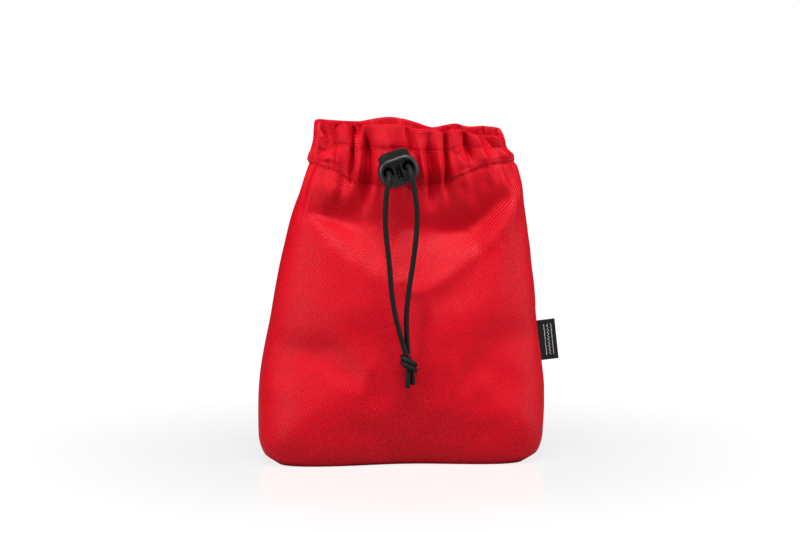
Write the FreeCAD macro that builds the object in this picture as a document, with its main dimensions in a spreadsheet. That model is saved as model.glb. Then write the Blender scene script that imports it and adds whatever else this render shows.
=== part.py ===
"""Drawstring pouch: two gathered cloth panels, a casing with its drawcord, a sprung two-hole cord
lock, the cord's two free legs tied in one knot, and a folded label in the side seam.

Millimetres, +Z up.  The origin is the middle of the flat base, and the mouth is above it.
The front, where the cord lock sits, looks along -Y.
"""
import FreeCAD, Part
import math
import os
import Sketcher
from FreeCAD import Placement, Rotation, Vector

doc = FreeCAD.newDocument("drawstring_pouch")

# ---------------------------------------------------------------- driving dimensions

SIZES = [
    # name, millimetres or degrees, meaning
    ("wall", 1.2, "thickness of the cloth"),
    ("channel_gap", 4.6, "room between panel and hem where the drawcord runs"),
    ("hem_wall", 1.0, "thickness of the turned-in hem"),
    ("channel_low", 148.5, "height of the stitch line under the channel"),
    ("channel_high", 160.8, "height of the stitch line over the channel"),
    ("hem_low", 145.0, "height of the hem's lower edge"),
    ("seam_wide", 6.0, "how far a seam allowance stands into the pouch"),
    ("seam_thick", 2.4, "thickness of both allowances together, bound with thread"),
    ("seam_rest", 1.0, "air between one bound seam and the next"),
    ("stitch_proud", 0.4, "how far a thread stands out of the cloth"),
    ("stitch_tall", 0.8, "width of a row of thread"),
    ("corner_seam", 44.0, "length of the cross seam that boxes a lower corner"),
    ("side_seam_low", 18.0, "height of the side seams' lower ends, over the cross seams"),
    ("least_round", 2.0, "smallest corner radius of an inner skin"),
    ("cord_wide", 2.7, "diameter of the braided cord"),
    ("ring_wide", 6.6, "outside diameter of the buttonhole's thread"),
    ("ring_hole", 4.2, "clear diameter of the buttonhole"),
    ("ring_front", -22.3, "front edge of the buttonhole's thread"),
    ("ring_deep", 3.3, "length of the buttonhole's thread through the cloth"),
    ("lock_side", -3.2, "centre of the cord lock, sideways"),
    ("lock_front", -29.0, "centre of the cord lock, front to back"),
    ("lock_up", 155.1, "centre of the cord lock, height"),
    ("lock_tilt", 19.5, "turn of the cord lock, its right side up"),
    ("lock_wide", 20.6, "width of the lock's body"),
    ("lock_tall", 15.0, "height of the lock's body"),
    ("lock_drop", 8.4, "how far the body reaches under the middle of its holes"),
    ("lock_deep", 12.0, "depth of the lock's body, along its holes"),
    ("lock_round", 6.6, "radius of the body's four corners"),
    ("lock_edge", 1.8, "rounding of the body's rims"),
    ("rim_wide", 2.1, "width of the raised rim round the front face"),
    ("face_sink", 0.9, "how deep the front face lies inside its rim"),
    ("hole_flare", 0.7, "how much wider each hole's mouth is, on the radius"),
    ("hole_wide", 5.0, "diameter of each cord hole"),
    ("hole_apart", 10.6, "distance between the two cord holes"),
    ("well_wide", 16.0, "width of the well that the plunger slides in"),
    ("well_deep", 7.6, "well, front to back"),
    ("well_floor", 5.9, "depth of the well's floor under the middle of the holes"),
    ("run_gap", 0.06, "running clearance of the plunger, each side"),
    ("stroke", 3.0, "travel of the plunger"),
    ("head_rise", 3.0, "how far the plunger's head stands over the body at rest"),
    ("window_wide", 2.6, "width of the window over the spring"),
    ("window_tall", 7.6, "height of the window over the spring"),
    ("window_sill", 1.0, "height of the window's sill over the well's floor"),
    ("plunger_air", 0.3, "room between the plunger and the cord or floor at the ends of its travel"),
    ("spring_top", 2.4, "height of the spring's seat in the plunger, over the middle of the holes"),
    ("spring_room", 0.6, "room round the spring inside the plunger"),
    ("spring_end", 0.1, "room between the spring and each of its seats"),
    ("spring_wide", 3.6, "mean diameter of the spring"),
    ("spring_wire", 0.5, "diameter of the spring's wire"),
    ("spring_turns", 5.0, "turns of the spring"),
    ("knot_wide", 9.4, "width of the knot"),
    ("knot_tall", 8.6, "height of the knot"),
    ("knot_deep", 7.6, "depth of the knot"),
    ("label_tall", 21.4, "height of the folded label"),
    ("label_out", 8.6, "how far the label stands out of the seam"),
    ("label_thick", 0.9, "both layers of the label together"),
    ("label_side", 74.8, "label's sewn edge, sideways"),
    ("label_up", 62.2, "middle of the label, height"),
    ("label_lean", 6.4, "lean of the label, along the sloping seam"),
]

# Each level of the pouch is a rounded oblong: its height, its reach to the left and to the right,
# its half depth, and its corner radius.
LEVELS = {
    "base": (0.0, 65.0, 64.5, 24.0, 12.0),
    "heel": (4.5, 71.3, 71.3, 27.6, 15.0),
    "foot": (15.0, 75.0, 74.8, 30.2, 20.0),
    "belly": (34.0, 74.9, 75.9, 31.4, 25.0),
    "waist": (80.0, 67.6, 71.8, 29.6, 25.0),
    "shoulder": (124.0, 58.6, 67.0, 24.8, 21.0),
    "channel": (153.0, 48.8, 61.0, 20.6, 17.0),
    "lip": (177.0, 43.6, 52.6, 18.6, 15.0),
}
LEVEL_FIELDS = ("height", "left", "right", "depth", "round")

sheet = doc.addObject("Spreadsheet::Sheet", "sizes")
rows = list(SIZES)
for level, values in LEVELS.items():
    rows += [(f"{level}_{field}", value, f"{level} level, {field}")
             for field, value in zip(LEVEL_FIELDS, values)]
for row, (alias, value, meaning) in enumerate(rows, start=1):
    sheet.set(f"A{row}", alias)
    sheet.set(f"B{row}", str(value))
    sheet.set(f"C{row}", meaning)
    sheet.setAlias(f"B{row}", alias)
doc.recompute()


def size(alias):
    """One driving dimension, read from the sheet."""
    return float(sheet.get(alias))


def bind(item, **formulas):
    """Tie properties of an object to formulas over the sheet; __ stands for a dot."""
    for name, formula in formulas.items():
        item.setExpression(name.replace("__", "."), formula)
    return item


parts = {}


def keep(item, node):
    """Name a finished piece and put it on the list of pieces to write."""
    item.Label = node
    parts[node] = item
    return item


# ---------------------------------------------------------------- small helpers

def box(low, high):
    """A box from formulas for its low corner and its high corner."""
    item = doc.addObject("Part::Box", "Block")
    for axis, name, near, far in zip("xyz", ("Length", "Width", "Height"), low, high):
        item.setExpression(name, f"({far}) - ({near})")
        item.setExpression(f"Placement.Base.{axis}", near)
    return item


def boolean(kind, base, *tools):
    """Cut, Common or MultiFuse of earlier pieces."""
    item = doc.addObject(f"Part::{kind}", kind)
    if kind == "MultiFuse":
        item.Shapes = [base, *tools]
        return item
    item.Base = base
    if len(tools) == 1:
        item.Tool = tools[0]
    else:
        item.Tool = boolean("MultiFuse", *tools)
    return item


def plane_of(body, role):
    """One of a body's own origin planes."""
    return next(f for f in body.Origin.OriginFeatures if f.Role == role)


def new_body(name):
    return doc.addObject("PartDesign::Body", name)


def new_sketch(body, name, role="XY_Plane"):
    sketch = body.newObject("Sketcher::SketchObject", name)
    sketch.AttachmentSupport = [(plane_of(body, role), "")]
    sketch.MapMode = "FlatFace"
    return sketch


def rounded_oblong(sketch, left, right, low, high, radius, guess):
    """Closed oblong with four equal corner arcs, its reach from the origin given by formulas."""
    gl, gr, gb, gt, r = guess
    corners = [(gr - r, gb + r, -90), (gr - r, gt - r, 0), (gl + r, gt - r, 90), (gl + r, gb + r, 180)]
    starts = [(gl + r, gb), (gr, gb + r), (gr - r, gt), (gl, gt - r)]
    ends = [(gr - r, gb), (gr, gt - r), (gl + r, gt), (gl, gb + r)]
    for start, end, (cx, cy, turn) in zip(starts, ends, corners):
        sketch.addGeometry(Part.LineSegment(Vector(*start, 0), Vector(*end, 0)), False)
        circle = Part.Circle(Vector(cx, cy, 0), Vector(0, 0, 1), r)
        arc = Part.ArcOfCircle(circle, math.radians(turn), math.radians(turn + 90))
        sketch.addGeometry(arc, False)
    for side in range(8):
        sketch.addConstraint(Sketcher.Constraint("Tangent", side, 2, (side + 1) % 8, 1))
    for side, kind in ((0, "Horizontal"), (2, "Vertical"), (4, "Horizontal"), (6, "Vertical")):
        sketch.addConstraint(Sketcher.Constraint(kind, side))
    for arc in (3, 5, 7):
        sketch.addConstraint(Sketcher.Constraint("Equal", 1, arc))
    sides = [("Radius", (1, r), radius),
             ("DistanceX", (6, 1, -1, 1, -gl), left),
             ("DistanceX", (-1, 1, 2, 1, gr), right),
             ("DistanceY", (0, 1, -1, 1, -gb), low),
             ("DistanceY", (-1, 1, 4, 1, gt), high)]
    for kind, arguments, formula in sides:
        index = sketch.addConstraint(Sketcher.Constraint(kind, *arguments))
        sketch.setExpression(f"Constraints[{index}]", formula)


# ---------------------------------------------------------------- the pouch's own volume

def pouch_volume(name, inset):
    """Loft through every level, each drawn in by the same inset, a formula."""
    body = new_body(name)
    sections = []
    for level, (height, left, right, depth, radius) in LEVELS.items():
        sketch = new_sketch(body, f"{name}_{level}")
        guess = (-left, right, -depth, depth, radius)
        reach = [f"sizes.{level}_{field} - ({inset})" for field in ("left", "right", "depth", "depth")]
        rounded_oblong(sketch, *reach, f"max(sizes.{level}_round - ({inset}); sizes.least_round)", guess)
        sketch.setExpression("AttachmentOffset.Base.z", f"sizes.{level}_height")
        sections.append(sketch)
    loft = body.newObject("PartDesign::AdditiveLoft", f"{name}_loft")
    loft.Profile = sections[0]
    loft.Sections = sections[1:]
    return body


REACH = "100"  # half size of a block that holds the whole pouch, as a formula
HIGH = "200"
PAST = "2"     # how far a cutting tool runs past the face it cuts, as a formula


def front_half():
    return box((f"-{REACH}", f"-{REACH}", f"-{PAST}"), (REACH, "0", HIGH))


def back_half():
    return box((f"-{REACH}", "0", f"-{PAST}"), (REACH, REACH, HIGH))


def layer(low, high=HIGH):
    """A flat slice through everything between two heights."""
    return box((f"-{REACH}", f"-{REACH}", low), (REACH, REACH, high))


def room_inside(name, inset):
    """What is left of the pouch's volume inside a skin as thick as the inset, its floor included."""
    return boolean("Common", pouch_volume(name, inset), layer(inset))


outside = pouch_volume("outside", "0")
thread_face = pouch_volume("thread_face", "-sizes.stitch_proud")
lining = room_inside("lining", "sizes.wall")
hem_face = room_inside("hem_face", "sizes.wall + sizes.hem_wall")
channel_face = room_inside("channel_face", "sizes.wall + sizes.channel_gap")
hem_inside = room_inside("hem_inside", "sizes.wall + sizes.channel_gap + sizes.hem_wall")
seam_inside = room_inside("seam_inside", "sizes.wall + sizes.seam_wide")


# ---------------------------------------------------------------- front and back panels

HOLE_SIDES = {"left": -1, "right": 1}


def hole_place(side, rise="0"):
    """Formulas for the place of one cord hole, rise being a shift along the lock's own height."""
    across = f"({HOLE_SIDES[side]} * sizes.hole_apart / 2)"
    x = f"sizes.lock_side + {across} * cos(sizes.lock_tilt) - ({rise}) * sin(sizes.lock_tilt)"
    z = f"sizes.lock_up + {across} * sin(sizes.lock_tilt) + ({rise}) * cos(sizes.lock_tilt)"
    return x, z


def bar_along_depth(side, width, front, depth):
    """Round bar through one cord hole, running from front to back."""
    bar = doc.addObject("Part::Cylinder", "Bar")
    x, z = hole_place(side)
    bar.Placement = Placement(Vector(), Rotation(Vector(1, 0, 0), -90))
    return bind(bar, Radius=f"({width}) / 2", Height=depth, Placement__Base__x=x,
                Placement__Base__y=front, Placement__Base__z=z)


shell = boolean("Cut", outside, lining)
THROUGH_CLOTH = (f"sizes.ring_front - {PAST}", f"sizes.ring_deep + 2 * {PAST}")
bars = [bar_along_depth(side, "sizes.ring_wide", *THROUGH_CLOTH) for side in HOLE_SIDES]
front_blank = boolean("Common", shell, front_half())
keep(boolean("Cut", front_blank, *bars), "front_panel")
keep(boolean("Common", shell, back_half()), "back_panel")

for side in HOLE_SIDES:
    ring = bar_along_depth(side, "sizes.ring_wide", "sizes.ring_front", "sizes.ring_deep")
    bore = bar_along_depth(side, "sizes.ring_hole", *THROUGH_CLOTH)
    keep(boolean("Cut", ring, bore), f"{side}_buttonhole")

# ---------------------------------------------------------------- hem, with the channel inside it

facing = boolean("Common", boolean("Cut", lining, hem_face), layer("sizes.hem_low", "sizes.lip_height"))
channel_skin = boolean("Common", boolean("Cut", lining, hem_inside),
                       layer("sizes.channel_low - sizes.hem_wall", "sizes.channel_high + sizes.hem_wall"))
channel_room = boolean("Common", boolean("Cut", lining, channel_face),
                       layer("sizes.channel_low", "sizes.channel_high"))
hem = boolean("Cut", boolean("MultiFuse", facing, channel_skin), channel_room)
keep(boolean("Common", hem, front_half()), "front_hem")
keep(boolean("Common", hem, back_half()), "back_hem")

# ---------------------------------------------------------------- bound seams inside the pouch

seam_ring = boolean("Cut", lining, seam_inside)
SEAM_TOP = "sizes.hem_low - sizes.seam_rest"
HALF_SEAM = "sizes.seam_thick / 2"
SEAM_REACH = "(2 * sizes.seam_wide)"     # more than the allowance's own height
CORNER_X = "(sizes.base_left - sizes.seam_wide)"
SIDES = {"left": (-1, f"-{REACH}", "0"), "right": (1, "0", REACH)}
for side, (sign, low_x, high_x) in SIDES.items():
    block = box((low_x, f"-{HALF_SEAM}", "sizes.side_seam_low"), (high_x, HALF_SEAM, SEAM_TOP))
    keep(boolean("Common", seam_ring, block), f"{side}_side_seam")
    corner = box((f"{sign} * {CORNER_X} - {HALF_SEAM}", "-sizes.corner_seam / 2", "0"),
                 (f"{sign} * {CORNER_X} + {HALF_SEAM}", "sizes.corner_seam / 2", SEAM_REACH))
    keep(boolean("Common", seam_ring, corner), f"{side}_corner_seam")
reach = f"({CORNER_X} - {HALF_SEAM} - sizes.seam_rest)"
middle = box((f"-{reach}", f"-{HALF_SEAM}", "0"), (reach, HALF_SEAM, SEAM_REACH))
keep(boolean("Common", seam_ring, middle), "bottom_seam")

# ---------------------------------------------------------------- rows of casing thread

thread_ring = boolean("Cut", thread_face, outside)
for node, low in (("lower_casing_thread", "sizes.channel_low - sizes.stitch_tall"),
                  ("upper_casing_thread", "sizes.channel_high")):
    keep(boolean("Common", thread_ring, layer(low, f"{low} + sizes.stitch_tall")), node)

# ---------------------------------------------------------------- cord


def rounded_route(points, radii=None):
    """Straight runs joined by tangent arcs, and the length of the whole.

    Without radii, each arc is as large as its two runs allow: 0.45 of the shorter run over the
    tangent of half the turn.
    """
    points = [Vector(*p) for p in points]
    edges, here, smallest = [], points[0], None
    for index in range(1, len(points) - 1):
        before, at, after = points[index - 1:index + 2]
        come, leave = (at - before), (after - at)
        half_turn = come.getAngle(leave) / 2
        if radii:
            radius = radii[index - 1]
        else:
            radius = 0.45 * min(come.Length, leave.Length) / math.tan(half_turn)
        back = radius * math.tan(half_turn)
        come.normalize()
        leave.normalize()
        start, end = at - come * back, at + leave * back
        chord = (leave - come).normalize()
        crown = at + chord * (radius / math.cos(half_turn) - radius)
        edges.append(Part.LineSegment(here, start).toShape())
        edges.append(Part.Arc(start, crown, end).toShape())
        here = end
        smallest = radius if smallest is None else min(radius, smallest)
    edges.append(Part.LineSegment(here, points[-1]).toShape())
    return Part.Wire(edges), smallest


def cord_tube(name, points, radii=None):
    """Round cord along a route, as a sweep of a circle bound to the sheet."""
    wire, smallest = rounded_route(points, radii)
    route = doc.addObject("Part::Feature", f"{name}_route")
    route.Shape = wire
    circle = doc.addObject("Part::Circle", f"{name}_section")
    along = Vector(*points[1]) - Vector(*points[0])
    circle.Placement = Placement(Vector(*points[0]), Rotation(Vector(0, 0, 1), along))
    circle.setExpression("Radius", "sizes.cord_wide / 2")
    tube = doc.addObject("Part::Sweep", name)
    tube.Sections = [circle]
    tube.Spine = (route, [f"Edge{n + 1}" for n in range(len(wire.Edges))])
    tube.Solid = True
    tube.Frenet = False
    area = math.pi * size("cord_wide") ** 2 / 4
    doc.recompute()
    print(f"{name}: length {wire.Length:.1f}, smallest radius {smallest:.2f}, "
          f"volume {tube.Shape.Volume:.1f} for {area * wire.Length:.1f}")
    return tube


tilt = math.radians(size("lock_tilt"))
holes = {side: (size("lock_side") + sign * size("hole_apart") / 2 * math.cos(tilt),
                size("lock_up") + sign * size("hole_apart") / 2 * math.sin(tilt))
         for side, sign in HOLE_SIDES.items()}
face_y = size("lock_front") - size("lock_deep") / 2
CORD_PROUD = 1.4   # the drawcord ends this far outside the lock
LEG_GAP = 0.6      # each leg starts this far past it, with room to swing
LEG_RUN = 4.2      # and runs straight for this long before it turns down
exit_y = face_y - CORD_PROUD
leg_y = exit_y - LEG_GAP
leg_bend_y = leg_y - LEG_RUN

# The drawcord inside the casing: in at one buttonhole, round the channel, out at the other.
channel_in = size("wall") + size("channel_gap") / 2
front_y = channel_in - size("channel_depth")
left_x = channel_in - size("channel_left")
right_x = size("channel_right") - channel_in
bend = size("channel_round") - channel_in
ring_z = size("channel_height")
(left_hole_x, left_hole_z), (right_hole_x, right_hole_z) = holes["left"], holes["right"]
channel_route = [
    (left_hole_x, exit_y, left_hole_z), (left_hole_x, front_y, left_hole_z),
    (left_x, front_y, ring_z), (left_x, -front_y, ring_z),
    (right_x, -front_y, ring_z), (right_x, front_y, ring_z),
    (right_hole_x, front_y, right_hole_z), (right_hole_x, exit_y, right_hole_z)]
EXIT_BEND = 3.2    # bend radius where the cord turns out of the casing
keep(cord_tube("drawcord", channel_route, [EXIT_BEND, bend, bend, bend, bend, EXIT_BEND]), "drawcord")

# The knot that ties both legs together, and the legs that end in it.
KNOT = (2.0, -36.6, 55.9)
knot = doc.addObject("Part::Ellipsoid", "Knot")
knot.Placement.Base = Vector(*KNOT)
bind(knot, Radius1="sizes.knot_tall / 2", Radius2="sizes.knot_wide / 2", Radius3="sizes.knot_deep / 2")
keep(knot, "cord_knot")

LEG_ROUTES = {
    "left": [(left_hole_x, leg_y, left_hole_z), (left_hole_x, leg_bend_y, left_hole_z),
             (-9.1, -43.9, 149.0), (-10.2, -43.7, 141.2), (-10.6, -42.4, 127.0), (-8.2, -40.6, 107.5),
             (-6.8, -39.4, 89.0), (-3.6, -38.7, 74.0), (0.5, -38.2, 60.4)],
    "right": [(right_hole_x, leg_y, right_hole_z), (right_hole_x, leg_bend_y, right_hole_z),
              (2.6, -43.9, 152.8), (4.6, -43.8, 144.6), (6.2, -42.6, 130.0), (4.1, -40.7, 109.5),
              (1.2, -38.6, 90.5), (0.4, -36.6, 74.8), (1.7, -35.4, 60.6)],
}
for side, route in LEG_ROUTES.items():
    leg = cord_tube(f"{side}_leg", route)
    keep(boolean("Cut", leg, knot), f"cord_leg_{side}")

TAIL_ROUTES = {
    "left": [(1.8, -37.3, 54.3), (1.3, -38.0, 48.3), (1.2, -38.1, 43.7)],
    "right": [(2.9, -35.6, 54.3), (3.8, -35.2, 48.7), (4.1, -35.1, 44.9)],
}
for side, route in TAIL_ROUTES.items():
    tail = cord_tube(f"{side}_tail", route)
    keep(boolean("Cut", tail, knot), f"cord_tail_{side}")

# ---------------------------------------------------------------- cord lock, in its own frame
# Here X runs from hole to hole, Y along the holes and Z up the plunger; the last step places it.

FAR = "20"   # a length past every face of the lock, as a formula
THROUGH_LOCK = f"(sizes.lock_deep + 2 * {PAST})"
tilt_turn = Rotation(Vector(0, 1, 0), -size("lock_tilt"))
lock_place = Placement(Vector(size("lock_side"), size("lock_front"), size("lock_up")), tilt_turn)


def pad_symmetric(body, sketch, name, length):
    pad = body.newObject("PartDesign::Pad", name)
    pad.Profile = sketch
    pad.SideType = "Symmetric"
    pad.setExpression("Length", length)
    return pad


def lock_blank(name, extra_out, extra_up, depth):
    """Rounded oblong bar, the outline of the lock's body, as long as the depth asked for."""
    body = new_body(name)
    sketch = new_sketch(body, f"{name}_outline", "XZ_Plane")
    half, drop = size("lock_wide") / 2, size("lock_drop")
    rise = size("lock_tall") - drop
    rounded_oblong(sketch, f"sizes.lock_wide / 2 + ({extra_out})", f"sizes.lock_wide / 2 + ({extra_out})",
                   f"sizes.lock_drop + ({extra_out})", f"sizes.lock_tall - sizes.lock_drop + ({extra_up})",
                   f"sizes.lock_round + min({extra_out}; 0)", (-half, half, -drop, rise, size("lock_round")))
    pad = pad_symmetric(body, sketch, f"{name}_pad", depth)
    return body, pad


def lock_block(half_wide, low, high, deep):
    """Box centred on the lock, from formulas."""
    return box((f"-({half_wide})", f"-({deep}) / 2", low), (half_wide, f"({deep}) / 2", high))


def hole_bar(side, width, deep, rise="0"):
    bar = doc.addObject("Part::Cylinder", "HoleBar")
    bar.Placement = Placement(Vector(), Rotation(Vector(1, 0, 0), -90))
    return bind(bar, Radius=f"({width}) / 2", Height=deep,
                Placement__Base__x=f"{HOLE_SIDES[side]} * sizes.hole_apart / 2",
                Placement__Base__y=f"-({deep}) / 2", Placement__Base__z=rise)


blank, blank_pad = lock_blank("lock_blank", "0", "0", "sizes.lock_deep")
doc.recompute()
rims = [f"Edge{n}" for n, edge in enumerate(blank.Shape.Edges, start=1)
        if abs(abs(edge.CenterOfMass.y) - size("lock_deep") / 2) < 0.01]
rounding = blank.newObject("PartDesign::Fillet", "lock_rims")
rounding.Base = (blank_pad, rims)
rounding.setExpression("Radius", "sizes.lock_edge")
doc.recompute()
well = lock_block("sizes.well_wide / 2", "-sizes.well_floor", FAR, "sizes.well_deep")
WINDOW_LOW = "(sizes.window_sill - sizes.well_floor)"
window = box(("-sizes.window_wide / 2", f"-{FAR}", WINDOW_LOW),
             ("sizes.window_wide / 2", "0", f"{WINDOW_LOW} + sizes.window_tall"))
holes_through = [hole_bar(side, "sizes.hole_wide", THROUGH_LOCK) for side in HOLE_SIDES]
FACE = "(sizes.lock_deep / 2 - sizes.face_sink)"
sunk, _ = lock_blank("face_blank", "-sizes.rim_wide", "-sizes.rim_wide", THROUGH_LOCK)
recess = boolean("Common", sunk, box((f"-{FAR}", f"-{FAR}", f"-{FAR}"), (FAR, f"-{FACE}", FAR)))
flares = []
for side, sign in HOLE_SIDES.items():
    flare = doc.addObject("Part::Cone", "HoleFlare")
    flare.Placement = Placement(Vector(), Rotation(Vector(1, 0, 0), -90))
    flares.append(bind(flare, Radius1="sizes.hole_wide / 2 + sizes.hole_flare", Radius2="sizes.hole_wide / 2",
                       Height="sizes.hole_flare", Placement__Base__x=f"{sign} * sizes.hole_apart / 2",
                       Placement__Base__y=f"-{FACE}"))
lock_body = boolean("Cut", blank, well, window, recess, *holes_through, *flares)
lock_body.Placement = lock_place
keep(lock_body, "lock_body")

# Plunger: slides in the well, its arched head standing over the body.
head, _ = lock_blank("plunger_blank", "-sizes.run_gap", "sizes.head_rise",
                     "sizes.well_deep - 2 * sizes.run_gap")
foot_z = "sizes.stroke + sizes.plunger_air - sizes.well_floor"
limits = lock_block("sizes.well_wide / 2 - sizes.run_gap", foot_z, FAR, "sizes.well_deep")
CORD_ROOM = "(sizes.cord_wide / 2 + sizes.plunger_air)"
slots = []
for side, sign in HOLE_SIDES.items():
    middle_x = f"{sign} * sizes.hole_apart / 2"
    slots.append(box((f"{middle_x} - sizes.hole_wide / 2", f"-{FAR}", f"-{CORD_ROOM}"),
                     (f"{middle_x} + sizes.hole_wide / 2", FAR, f"sizes.stroke + {CORD_ROOM}")))
# The spring sits in a bore that is open to the front, so it shows in the window.
bore = doc.addObject("Part::Cylinder", "SpringBore")
bind(bore, Radius="sizes.spring_wide / 2 + sizes.spring_room", Height=f"{FAR} + sizes.spring_top",
     Placement__Base__z=f"-{FAR}")
bore_mouth = box(("-sizes.window_wide / 2", f"-{FAR}", f"-{FAR}"), ("sizes.window_wide / 2", "0", "sizes.spring_top"))
plunger = boolean("Cut", boolean("Common", head, limits), bore, bore_mouth, *slots)
plunger.Placement = lock_place
keep(plunger, "lock_plunger")

# Spring: stands on the well's floor and pushes the plunger up.
helix = doc.addObject("Part::Helix", "SpringLine")
SPRING_LOW = "sizes.spring_wire - sizes.well_floor + sizes.spring_end"
SPRING_TALL = "(sizes.well_floor + sizes.spring_top - 2 * (sizes.spring_wire + sizes.spring_end))"
bind(helix, Radius="sizes.spring_wide / 2", Height=SPRING_TALL,
     Pitch=f"{SPRING_TALL} / sizes.spring_turns", Placement__Base__z=SPRING_LOW)
wire_section = doc.addObject("Part::Circle", "SpringSection")
bind(wire_section, Radius="sizes.spring_wire / 2", Placement__Base__x="sizes.spring_wide / 2",
     Placement__Base__z=SPRING_LOW)
wire_section.Placement.Rotation = Rotation(Vector(1, 0, 0), 90)
spring = doc.addObject("Part::Sweep", "Spring")
spring.Sections = [wire_section]
spring.Spine = (helix, ["Edge1"])
spring.Solid = True
spring.Frenet = True
spring.Placement = lock_place
keep(spring, "lock_spring")

# ---------------------------------------------------------------- side label

label = doc.addObject("Part::Box", "Label")
bind(label, Length="sizes.label_out", Width="sizes.label_thick", Height="sizes.label_tall")
lean = Rotation(Vector(0, 1, 0), -size("label_lean"))
corner = lean.multVec(Vector(0, -size("label_thick") / 2, -size("label_tall") / 2))
label.Placement = Placement(Vector(size("label_side"), 0, size("label_up")) + corner, lean)
keep(label, "side_label")

# ---------------------------------------------------------------- check and write

doc.recompute()
faults = [item.Label for item in doc.Objects if {"Invalid", "Error"} & set(item.State)]
faults += [node for node, item in parts.items() if item.Shape.isNull() or not item.Shape.isValid()]
if faults:
    raise RuntimeError(f"these did not build: {faults}")

os.makedirs("parts", exist_ok=True)
for node, item in parts.items():
    item.Shape.exportStep(f"parts/{node}.step")
    limits = item.Shape.BoundBox
    print(f"{node:22s} {len(item.Shape.Solids)} solid  {item.Shape.Volume:9.1f} mm3  "
          f"z {limits.ZMin:7.2f} to {limits.ZMax:7.2f}")
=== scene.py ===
import math
import bpy
import numpy as np
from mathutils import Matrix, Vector


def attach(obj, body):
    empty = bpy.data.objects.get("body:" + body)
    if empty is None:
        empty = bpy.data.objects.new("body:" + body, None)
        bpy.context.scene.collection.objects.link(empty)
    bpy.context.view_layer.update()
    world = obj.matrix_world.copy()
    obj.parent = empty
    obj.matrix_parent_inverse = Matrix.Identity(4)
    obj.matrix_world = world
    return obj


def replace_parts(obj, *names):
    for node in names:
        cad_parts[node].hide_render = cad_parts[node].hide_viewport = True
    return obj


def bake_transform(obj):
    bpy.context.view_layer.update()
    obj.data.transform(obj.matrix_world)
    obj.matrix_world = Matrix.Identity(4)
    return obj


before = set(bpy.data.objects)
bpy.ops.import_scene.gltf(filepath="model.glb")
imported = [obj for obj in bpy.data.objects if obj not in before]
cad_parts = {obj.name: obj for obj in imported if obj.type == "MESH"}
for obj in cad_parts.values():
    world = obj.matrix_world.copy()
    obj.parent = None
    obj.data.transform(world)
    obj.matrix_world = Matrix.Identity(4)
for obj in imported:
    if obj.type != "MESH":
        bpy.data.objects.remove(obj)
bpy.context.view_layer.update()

MM = 0.001

# ---------------------------------------------------------------- the pouch's levels, as cut in CAD
# height, reach to the left, reach to the right, half depth and squareness of each level, millimetres
LEVELS = np.array([
    (0.0, 65.0, 64.5, 24.0, 4.6),
    (4.5, 71.3, 71.3, 27.6, 4.0),
    (15.0, 75.0, 74.8, 30.2, 3.4),
    (34.0, 74.9, 75.9, 31.4, 3.0),
    (80.0, 67.6, 71.8, 29.6, 2.8),
    (124.0, 58.6, 67.0, 24.8, 2.7),
    (153.0, 48.8, 61.0, 20.6, 2.6),
    (166.0, 45.6, 56.0, 19.2, 2.5),
    (180.0, 44.0, 52.4, 19.0, 2.5)])

HALF_FLAT = 95.0      # half the flat width of one panel
ACROSS = 190          # columns over one panel
BASE_ROWS = 12
WALL_ROWS = 96
TOP_ROWS = 44
TABLE_STEP = 1.0      # height step of the outline table
CHANNEL_TOP = 0.62    # upper stitch line, as a share of the way from the lower line to the lip
CORD_INSET = 10.0     # the drawcord's ring, inside the outline
CORD_RADIUS = 1.35
SEAM_FADE = 9.0       # the folds fade out over this width beside each side seam
SEAM_NIP, SEAM_NIP_REACH = 1.3, 1.8                # how far the cloth is drawn in at a side seam
CORNER_NIP, CORNER_UP, CORNER_REACH = 0.8, 2.4, 1.3   # the same where the boxed corner starts
FLOOR_FADE = 4.0      # the folds fade out over this height above the floor
BASE_WAIST = 0.62     # width of the base's middle line, as a share of its edge


def smooth_through(x, xs, ys):
    """Monotone cubic through the points (xs, ys): Hermite pieces whose slopes are the harmonic
    mean of the slopes on either side."""
    xs, ys = np.asarray(xs, float), np.asarray(ys, float)
    step = np.diff(xs)
    rise = np.diff(ys) / step
    slope = np.zeros_like(ys)
    same = rise[:-1] * rise[1:] > 0
    slope[1:-1][same] = 2 * rise[:-1][same] * rise[1:][same] / (rise[:-1] + rise[1:])[same]
    slope[0], slope[-1] = rise[0], rise[-1]
    x = np.clip(x, xs[0], xs[-1])
    i = np.clip(np.searchsorted(xs, x) - 1, 0, len(xs) - 2)
    t = (x - xs[i]) / step[i]
    return ((2 * t**3 - 3 * t**2 + 1) * ys[i] + (t**3 - 2 * t**2 + t) * step[i] * slope[i]
            + (3 * t**2 - 2 * t**3) * ys[i + 1] + (t**3 - t**2) * step[i] * slope[i + 1])


def ramp(x, low, high):
    """0 below low, 1 above high, smooth between."""
    t = np.clip((x - low) / (high - low), 0, 1)
    return t * t * (3 - 2 * t)


def hump(x, middle, reach):
    """Bell curve of height 1: e to the minus square of the distance over the reach."""
    return np.exp(-((x - middle) / reach) ** 2)


# ---------------------------------------------------------------- shape of the gathered cloth
# A point of a panel is (s, row): s runs from -1 at the left seam to 1 at the right seam.

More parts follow.
